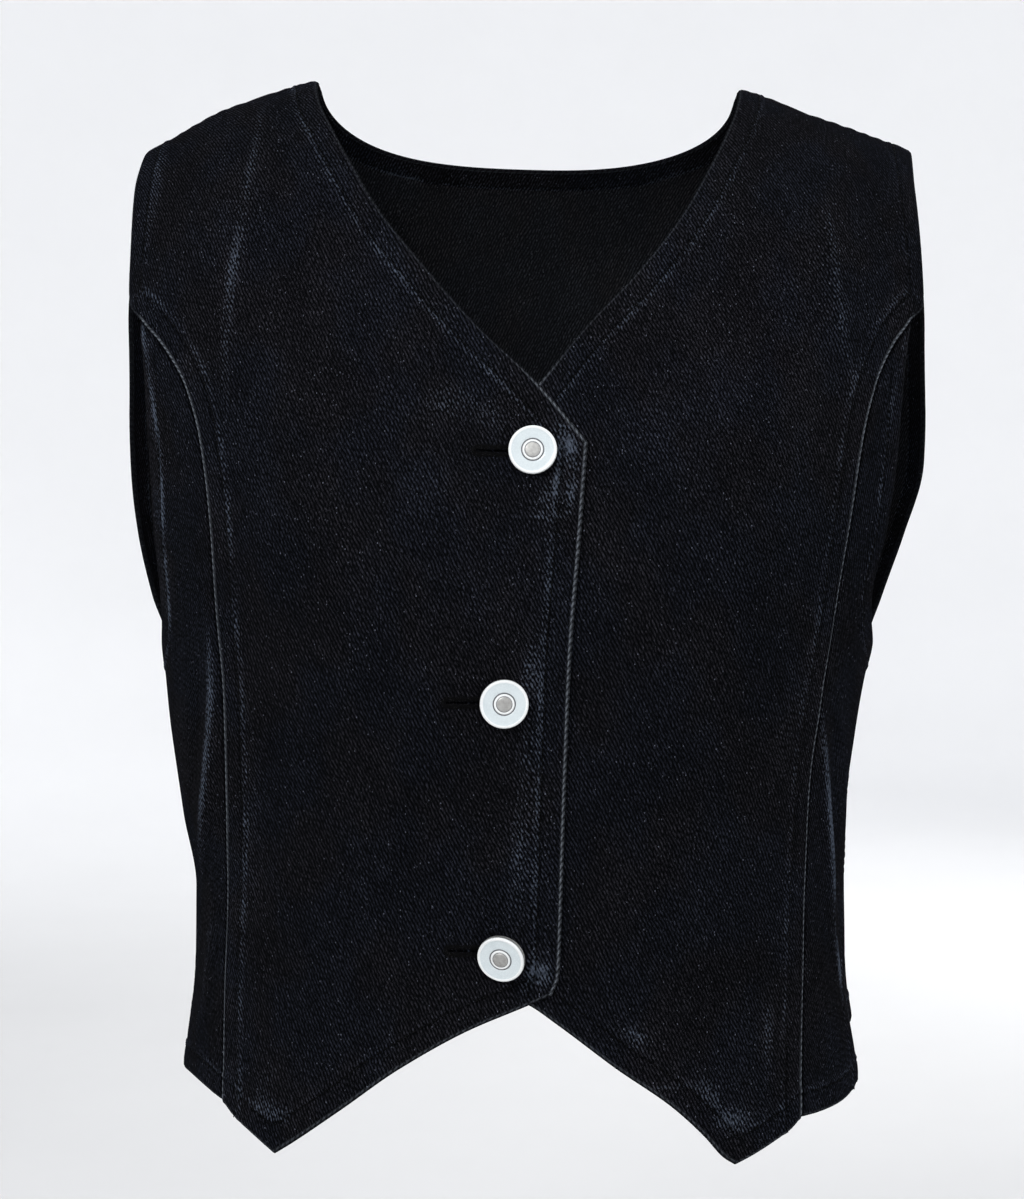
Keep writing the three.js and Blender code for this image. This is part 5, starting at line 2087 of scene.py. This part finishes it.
TIP_HEIGHT = 2.8  # from the front under the overlap to where the cap tips on its shank
SHANK = band(Part.PLATE, (0, 0.7), (2.1, 0.7), (2.1, TIP_HEIGHT))
UNDERSIDE = band(
    Part.PLATE, (2.1, 0.3), (2.4, 0.5), (7.3, 0.05), (7.7, 0), (8.1, 0), (8.4, 0.12), (8.55, 0.35),
    (8.6, 0.7), (8.42, 0.95), (8.42, 1.15), (8.58, 1.3), (8.6, 1.6),
)
FACE = (
    *band(Part.RIM, (8.6, -0.3), (8.58, -0.05), (8.5, 0.2), (8.32, 0.42), (8.05, 0.5), (7.8, 0.47)),
    *band(Part.ENAMEL, (7.55, 0.36), (7.2, 0.28), (6, 0.22), (4.9, 0.16), (4.3, 0.12)),
    *band(Part.GROOVE, (4.1, 0.04), (4.0, -0.12), (3.72, -0.12)),
    *band(Part.RIM, (3.64, 0.1), (3.5, 0.27), (3.3, 0.34), (3.05, 0.36)),
    *band(Part.GROOVE, (2.88, 0.28), (2.78, 0.22)),
    *band(Part.PLATE, (2.68, 0.36), (2.56, 0.5), (2.3, 0.56), (1.5, 0.6), (0.7, 0.62), (0, 0.62)),
)
TACK = band(
    Part.PLATE, (0, -2.5), (2.2, -2.48), (3.4, -2.4), (4.0, -2.25), (4.25, -2.0), (4.3, -1.8), (4.2, -1.6),
    (1.6, -1.6), (1.2, -1.5), (1, -1.3), (1, 0), (0, 0),
)


@dataclass(eq=False)
class Button:
    """A tack button: an enamelled cap with a sunk ring and a plated centre, its shank and the tack inside."""

    spec: ButtonSpec
    form: WornForm
    segments: int = 72
    skirt: float = 2.2
    eye_radius: float = 2.7
    slit_width: float = 0.9
    hole_length: float = 20.5
    stitch_out: float = 0.95  # from the buttonhole's edge to the middle of its stitches
    hole_reach: float = 34.0  # how far the cloth near the buttonhole goes

    def __post_init__(self) -> None:
        """Works out the button's place on the front under the overlap."""
        spec, form = self.spec, self.form
        turn = form.turn_at(spec.x, spec.z, Half.FRONT)
        z = np.asarray(spec.z, float)
        out = form.normal(turn, z)
        fold = Relief.folds(Half.FRONT, np.asarray(spec.x, float), z)
        across = np.array([1.0, 0, 0]) - out * out[0]
        across /= np.linalg.norm(across)
        up = np.cross(out, across)
        basis = Matrix(np.stack([across, up, out], axis=1).tolist()).to_4x4()
        self.place = Matrix.Translation(form.point(turn, z) + out * fold) @ basis
        self.out = out

    def lathe(
        self, name: str, profile: Sequence[Step], tip: Matrix, finishes: dict[Part, Material]
    ) -> Piece:
        """Builds a round piece from its half profile.

        Args:
            name: the new piece's name.
            profile: the steps of its half profile.
            tip: how the part over the tipping height leans.
            finishes: the material of each part.

        Returns:
            The new piece.
        """
        hinge = Matrix.Translation((0, 0, TIP_HEIGHT))
        lean = hinge @ tip @ hinge.inverted()
        turn = np.linspace(0, 2 * math.pi, self.segments, endpoint=False)
        points, rings = [], []
        for step in profile:
            radius, height = step.radius, step.height
            count = 1 if radius == 0 else self.segments
            rings.append(range(len(points), len(points) + count))
            points.extend((radius * math.cos(a), radius * math.sin(a), height) for a in turn[:count])
        used = sorted({step.part for step in profile}, key=lambda part: part.value)
        faces, kinds = [], []
        for (low, high), step in zip(zip(rings, rings[1:]), profile):
            for i in range(self.segments):
                j = (i + 1) % self.segments
                corners = [low[i % len(low)], low[j % len(low)], high[j % len(high)], high[i % len(high)]]
                faces.append(list(dict.fromkeys(corners)))
                kinds.append(used.index(step.part))
        made = bpy.data.meshes.new(name)
        leaning = [lean @ Vector(p) if p[2] > TIP_HEIGHT + 0.01 else Vector(p) for p in points]
        scaled = [(self.place @ p) * MM for p in leaning]
        made.from_pydata(scaled, [], faces)
        made.polygons.foreach_set("use_smooth", [True] * len(faces))
        for part in used:
            made.materials.append(finishes[part])
        made.polygons.foreach_set("material_index", kinds)
        return show(made)

    def cap(self, finishes: dict[Part, Material]) -> Piece:
        """Builds the cap with its shank.

        Args:
            finishes: the material of each part.

        Returns:
            The new piece.
        """
        tip = Matrix.Rotation(math.radians(self.spec.tip_across), 4, "Y")
        tip = tip @ Matrix.Rotation(math.radians(self.spec.tip_down), 4, "X")
        rim = LAP_LIFT + self.spec.standoff
        skirt = [step._replace(height=rim + step.height) for step in UNDERSIDE]
        face = [step._replace(height=rim + self.skirt + step.height) for step in FACE]
        return self.lathe("cap_" + self.spec.name, [*SHANK, *skirt, *face], tip, finishes)

    def tack(self, finishes: dict[Part, Material]) -> Piece:
        """Builds the tack's head and pin, on the inside."""
        return self.lathe("pin_" + self.spec.name, TACK, Matrix(), finishes)

    def hole_path(self, offset: float) -> list[tuple[float, float]]:
        """Returns the keyhole's outline in the button's own plane, drawn outward by an offset.

        Args:
            offset: the distance outward.

        Returns:
            Its points, once round.
        """
        eye, half = self.eye_radius + offset, self.slit_width / 2 + offset
        length = self.hole_length + offset
        open_at = math.asin(half / eye)
        turn = np.linspace(-math.pi + open_at, math.pi - open_at, 40)
        round_eye = [(eye * math.cos(a), eye * math.sin(a)) for a in turn]
        reach = np.linspace(round_eye[0][0], -length + half, 26)
        tip = [(-length + half - half * math.sin(a), -half * math.cos(a)) for a in np.linspace(math.pi, 0, 9)]
        return round_eye + [(x, half) for x in reach] + tip[1:-1] + [(x, -half) for x in reach[::-1]]

    def cutter(self) -> Piece:
        """Builds the keyhole's cutting shape, through the lapping front only."""
        outline = self.hole_path(0.0)
        points = [self.place @ Vector((x, y, h)) * MM for h in (0.35, 9.0) for x, y in outline]
        count = len(outline)
        sides = [(i, (i + 1) % count, (i + 1) % count + count, i + count) for i in range(count)]
        made = bpy.data.meshes.new("keyhole_" + self.spec.name)
        made.from_pydata(points, [], [list(range(count))[::-1], list(range(count, 2 * count)), *sides])
        piece = show(made)
        recalculate(piece)
        return piece

    def hole_track(self, panel: Panel) -> Track:
        """Returns the line of the buttonhole's stitches, laid on the lapping front's outer face.

        Args:
            panel: the lapping front.

        Returns:
            The line, closed, with the outward directions there.
        """
        flat = panel.outer.reshape(-1, 3)
        near = flat[np.linalg.norm(flat - np.array(self.place.translation), axis=1) < self.hole_reach]
        points = []
        for x, y in self.hole_path(self.stitch_out):
            spot = np.array(self.place @ Vector((x, y, LAP_LIFT)))
            around = np.argsort(((near - spot) ** 2).sum(axis=1) - ((near - spot) @ self.out) ** 2)[:4]
            height = ((near[around] - spot) @ self.out).mean()
            points.append(spot + self.out * (height - 0.05))
        points.append(points[0])
        return Track(np.array(points), np.tile(self.out, (len(points), 1)))


@dataclass(frozen=True)
class Studio:
    """A pale floor and backdrop, soft lights and the camera."""

    lens_px: float = 2097.0
    height_px: float = 1199.0
    eye: tuple[float, float, float] = (-0.0065, -0.85, -0.207)
    floor_z: float = -0.62
    sweep_radii: tuple[float, ...] = (1.2, 2.2, 2.6, 2.9, 3.1, 3.2, 3.24, 3.24)
    sweep_lifts: tuple[float, ...] = (0, 0, 0.05, 0.18, 0.42, 0.75, 1.2, 3.4)
    sweep_sides: int = 64

    def camera(self) -> None:
        """Adds the camera at the viewing angle of the photograph."""
        data = bpy.data.cameras.new("camera")
        data.sensor_fit = "VERTICAL"
        data.sensor_height = 36
        data.lens = 36 * self.lens_px / self.height_px
        data.clip_start = 0.01
        eye = bpy.data.objects.new("camera", data)
        eye.location = self.eye
        eye.rotation_euler = (math.pi / 2, 0, 0)
        bpy.context.scene.collection.objects.link(eye)
        bpy.context.scene.camera = eye
        bpy.context.scene.view_settings.view_transform = "Standard"

    def sweep(self) -> None:
        """Adds the floor, which curves up into a backdrop all round."""
        count = self.sweep_sides
        turns = [2 * math.pi * i / count for i in range(count)]
        points = [(0, 0, self.floor_z)]
        for radius, lift in zip(self.sweep_radii, self.sweep_lifts):
            z = self.floor_z + lift
            points += [(radius * math.cos(turn), radius * math.sin(turn), z) for turn in turns]
        after = [(i + 1) % count for i in range(count)]
        faces = [(0, 1 + i, 1 + j) for i, j in enumerate(after)]
        for ring in range(len(self.sweep_radii) - 1):
            low, high = 1 + ring * count, 1 + (ring + 1) * count
            faces += [(low + i, high + i, high + j, low + j) for i, j in enumerate(after)]
        made = bpy.data.meshes.new("studio_sweep")
        made.from_pydata(points, [], faces)
        made.polygons.foreach_set("use_smooth", [True] * len(faces))
        tree, shader, paper = new_material("studio_paper")
        place = tree.add("ShaderNodeTexCoord").outputs["Object"]
        grain = tree.noise(place, 6.0, 3.0)
        flat = tree.stretch(place, (1, 1, 0))
        away = tree.add("ShaderNodeVectorMath", {"operation": "LENGTH"}, i0=flat).outputs[1]
        # The paper is painted darker near the middle, where the lamps light the floor most: painted shade
        # that evens the floor with the backdrop.
        far = tree.ramp(away, 1.2, 3.0)
        tone = tree.math("MULTIPLY_ADD", grain, 0.03, tree.math("MULTIPLY_ADD", far, 0.36, 0.55))
        shade = tree.add("ShaderNodeCombineColor", i0=tone, i1=tone, i2=tone).outputs[0]
        tree.feed(shader, Base_Color=shade, Roughness=0.95)
        made.materials.append(paper)
        show(made)

    def lamp(self, name: str, place: tuple, aim: tuple, size: float, watts: float) -> None:
        """Adds one soft square light.

        Args:
            name: its name.
            place: where it stands.
            aim: the point it faces.
            size: the length of its side.
            watts: its power.
        """
        data = bpy.data.lights.new(name, "AREA")
        data.size, data.energy = size, watts
        lamp = bpy.data.objects.new(name, data)
        lamp.location = place
        lamp.rotation_euler = (Vector(aim) - Vector(place)).to_track_quat("-Z", "Y").to_euler()
        bpy.context.scene.collection.objects.link(lamp)

    def light(self) -> None:
        """Adds the lights and an even pale sky."""
        middle = (0, 0, -0.2)
        self.lamp("key", (-0.9, -1.6, 0.8), middle, 0.9, 22)
        self.lamp("fill", (1.3, -1.2, 0.2), middle, 1.2, 6)
        self.lamp("top", (0.1, 0.3, 1.5), middle, 1.2, 3)
        self.lamp("rear", (0.9, 1.7, 0.8), middle, 1.0, 26)
        world = bpy.context.scene.world or bpy.data.worlds.new("studio")
        bpy.context.scene.world = world
        world.use_nodes = True
        sky = next(node for node in world.node_tree.nodes if node.type == "BACKGROUND")
        sky.inputs["Color"].default_value = (0.93, 0.95, 1, 1)
        sky.inputs["Strength"].default_value = 0.92


class Vest:
    """The whole vest: panels, allowances, stitches, buttonholes and buttons."""

    def __init__(self) -> None:
        """Lays out the panels and makes the finishes."""
        self.form = WornForm()
        relief = Relief(self.form)
        self.fronts = {side: FrontPanel(relief, side=side) for side in Side}
        self.sides = {side: SidePanel(relief, side=side) for side in Side}
        self.back = BackPanel(relief)
        weave, wear = WeaveGroup(), WearGroup()
        self.denim = DenimFinish(
            "denim_face",
            dye=(0.0013, 0.0014, 0.0017, 1),
            yarn=(0.0175, 0.0195, 0.028, 1),
            cast=(0.019, 0.0185, 0.023, 1),
            worn=(0.06, 0.073, 0.098, 1),
            slub=(0.115, 0.123, 0.156, 1),
            fold=(0.12, 0.133, 0.152, 1),
        ).make(weave, wear)
        self.reverse = DenimFinish(
            "denim_reverse",
            dye=(0.004, 0.0043, 0.0052, 1),
            yarn=(0.03, 0.032, 0.038, 1),
            cast=(0.032, 0.031, 0.034, 1),
            worn=(0.05, 0.054, 0.064, 1),
            fold=(0.07, 0.075, 0.09, 1),
            slub=(0.08, 0.085, 0.1, 1),
            wear=0.4,
        ).make(weave, wear)
        self.thread = ThreadFinish("black_thread", (0.0024, 0.0024, 0.0026, 1)).make()
        enamel = EnamelFinish("white_enamel", (0.57, 0.625, 0.64, 1), (0.5, 0.56, 0.58, 1))
        rim = EnamelFinish("rim_enamel", (0.74, 0.755, 0.75, 1), (0.66, 0.68, 0.68, 1), 0.28)
        groove = EnamelFinish("grey_groove", (0.1, 0.105, 0.115, 1), (0.16, 0.165, 0.18, 1), 0.5)
        plate = PlateFinish("nickel_plate", (0.46, 0.455, 0.44, 1), (0.36, 0.355, 0.34, 1), 0.46)
        finishes = {Part.ENAMEL: enamel, Part.RIM: rim, Part.GROOVE: groove, Part.PLATE: plate}
        self.metals = {part: finish.make() for part, finish in finishes.items()}
        self.stitches = StitchTree()

    def record(self, piece: Piece, slot: str, *nodes: str) -> Piece:
        """Lets a piece ride on the body, hides the nodes it stands for, and reports it.

        Args:
            piece: the finished piece.
            slot: its material slot; not used.
            nodes: the nodes that it replaces.

        Returns:
            The same piece.
        """
        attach(piece, "root")
        if nodes:
            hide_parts(*nodes)
        faces = sum(len(polygon.vertices) - 2 for polygon in piece.data.polygons)
        log.info("%s: %d triangles", piece.name, faces)
        return piece

    def sewn_rows(self, panel: Panel) -> Piece:
        """Sews the rows of stitches along a panel's turned edges and pressed seams.

        Args:
            panel: the panel.

        Returns:
            Its stitches, as one piece.
        """
        tracks = []
        for span in panel.spans:
            if span.finish is Finish.TURNED:
                tracks.append(panel.track(span, STITCH_IN, trim=STITCH_IN - 0.4))
            elif span.finish is Finish.LAPPED:
                tracks.append(panel.track(span, STITCH_IN + 0.5, trim=0.6))
        name = panel.name.replace("panel", "stitches")
        return self.record(self.stitches.sew(name, tracks, TOPSTITCH, self.thread), "denim")

    def allowance(self, panel: Panel, span: Span) -> list[Piece]:
        """Makes the allowance of a seam, with its overlocked edge.

        Args:
            panel: the panel.
            span: the seam.

        Returns:
            The strip and its edge.
        """
        name = f"allowance_{panel.name[6:]}_{span.name}"
        strip = SeamAllowance(name, panel, span).make(self.reverse)
        line = panel.track(span, ALLOWANCE - 0.6, trim=TURN_IN, sink=CLOTH + 1.0)
        line.out = -line.out
        edge = self.stitches.sew(name.replace("allowance", "overlock"), [line], OVERLOCK, self.thread)
        return [self.record(strip, "denim"), self.record(edge, "denim")]

    def cut_holes(self, piece: Piece, buttons: Sequence[Button]) -> None:
        """Cuts the keyholes through the lapping front.

        Args:
            piece: the lapping front.
            buttons: the buttons that need them.
        """
        for button in buttons:
            cutter = button.cutter()
            cut = piece.modifiers.new("keyhole", "BOOLEAN")
            cut.operation, cut.solver, cut.object = "DIFFERENCE", "MANIFOLD", cutter
            bpy.context.view_layer.update()
            ready = piece.evaluated_get(bpy.context.evaluated_depsgraph_get())
            made = bpy.data.meshes.new_from_object(ready)
            old = piece.data
            piece.modifiers.clear()
            piece.data = made
            made.name = old.name
            bpy.data.meshes.remove(old)
            bpy.data.objects.remove(cutter)

    def build(self) -> None:
        """Builds every piece and ties it to the frame."""
        panels = [*self.fronts.values(), *self.sides.values(), self.back]
        cloths = {}
        for panel in panels:
            panel.shape()
            cloths[panel.name] = panel.mesh([self.denim, self.reverse])
        buttons = [Button(spec, self.form) for spec in BUTTONS]
        right = self.fronts[Side.RIGHT]
        self.cut_holes(cloths[right.name], buttons)
        extras = {panel.name: [self.sewn_rows(panel)] for panel in panels}
        for panel in panels:
            for span in panel.spans:
                if span.finish is Finish.LAPPED:
                    extras[panel.name] += self.allowance(panel, span)
        for button in buttons:
            name, line = button.spec.name, button.hole_track(right)
            hole = self.stitches.sew("buttonhole_" + name, [line], SATIN, self.thread)
            extras[right.name].append(self.record(hole, "denim"))
            self.record(button.cap(self.metals), "enamel", "button_" + name)
            self.record(button.tack(self.metals), "nickel", "tack_" + name)
        for panel in panels:
            cloth = self.record(cloths[panel.name], "denim", panel.name[6:])
            flat, area = panel.cut_size()
            log.info("%s: cut from %.3f by %.3f m, %.4f m2", panel.name, *flat, area)


def main() -> None:
    """Builds the studio and the vest."""
    logging.basicConfig(level=logging.INFO, format="%(name)s: %(message)s")
    studio = Studio()
    studio.camera()
    Vest().build()
    studio.sweep()
    studio.light()


if __name__ == "__main__":
    main()
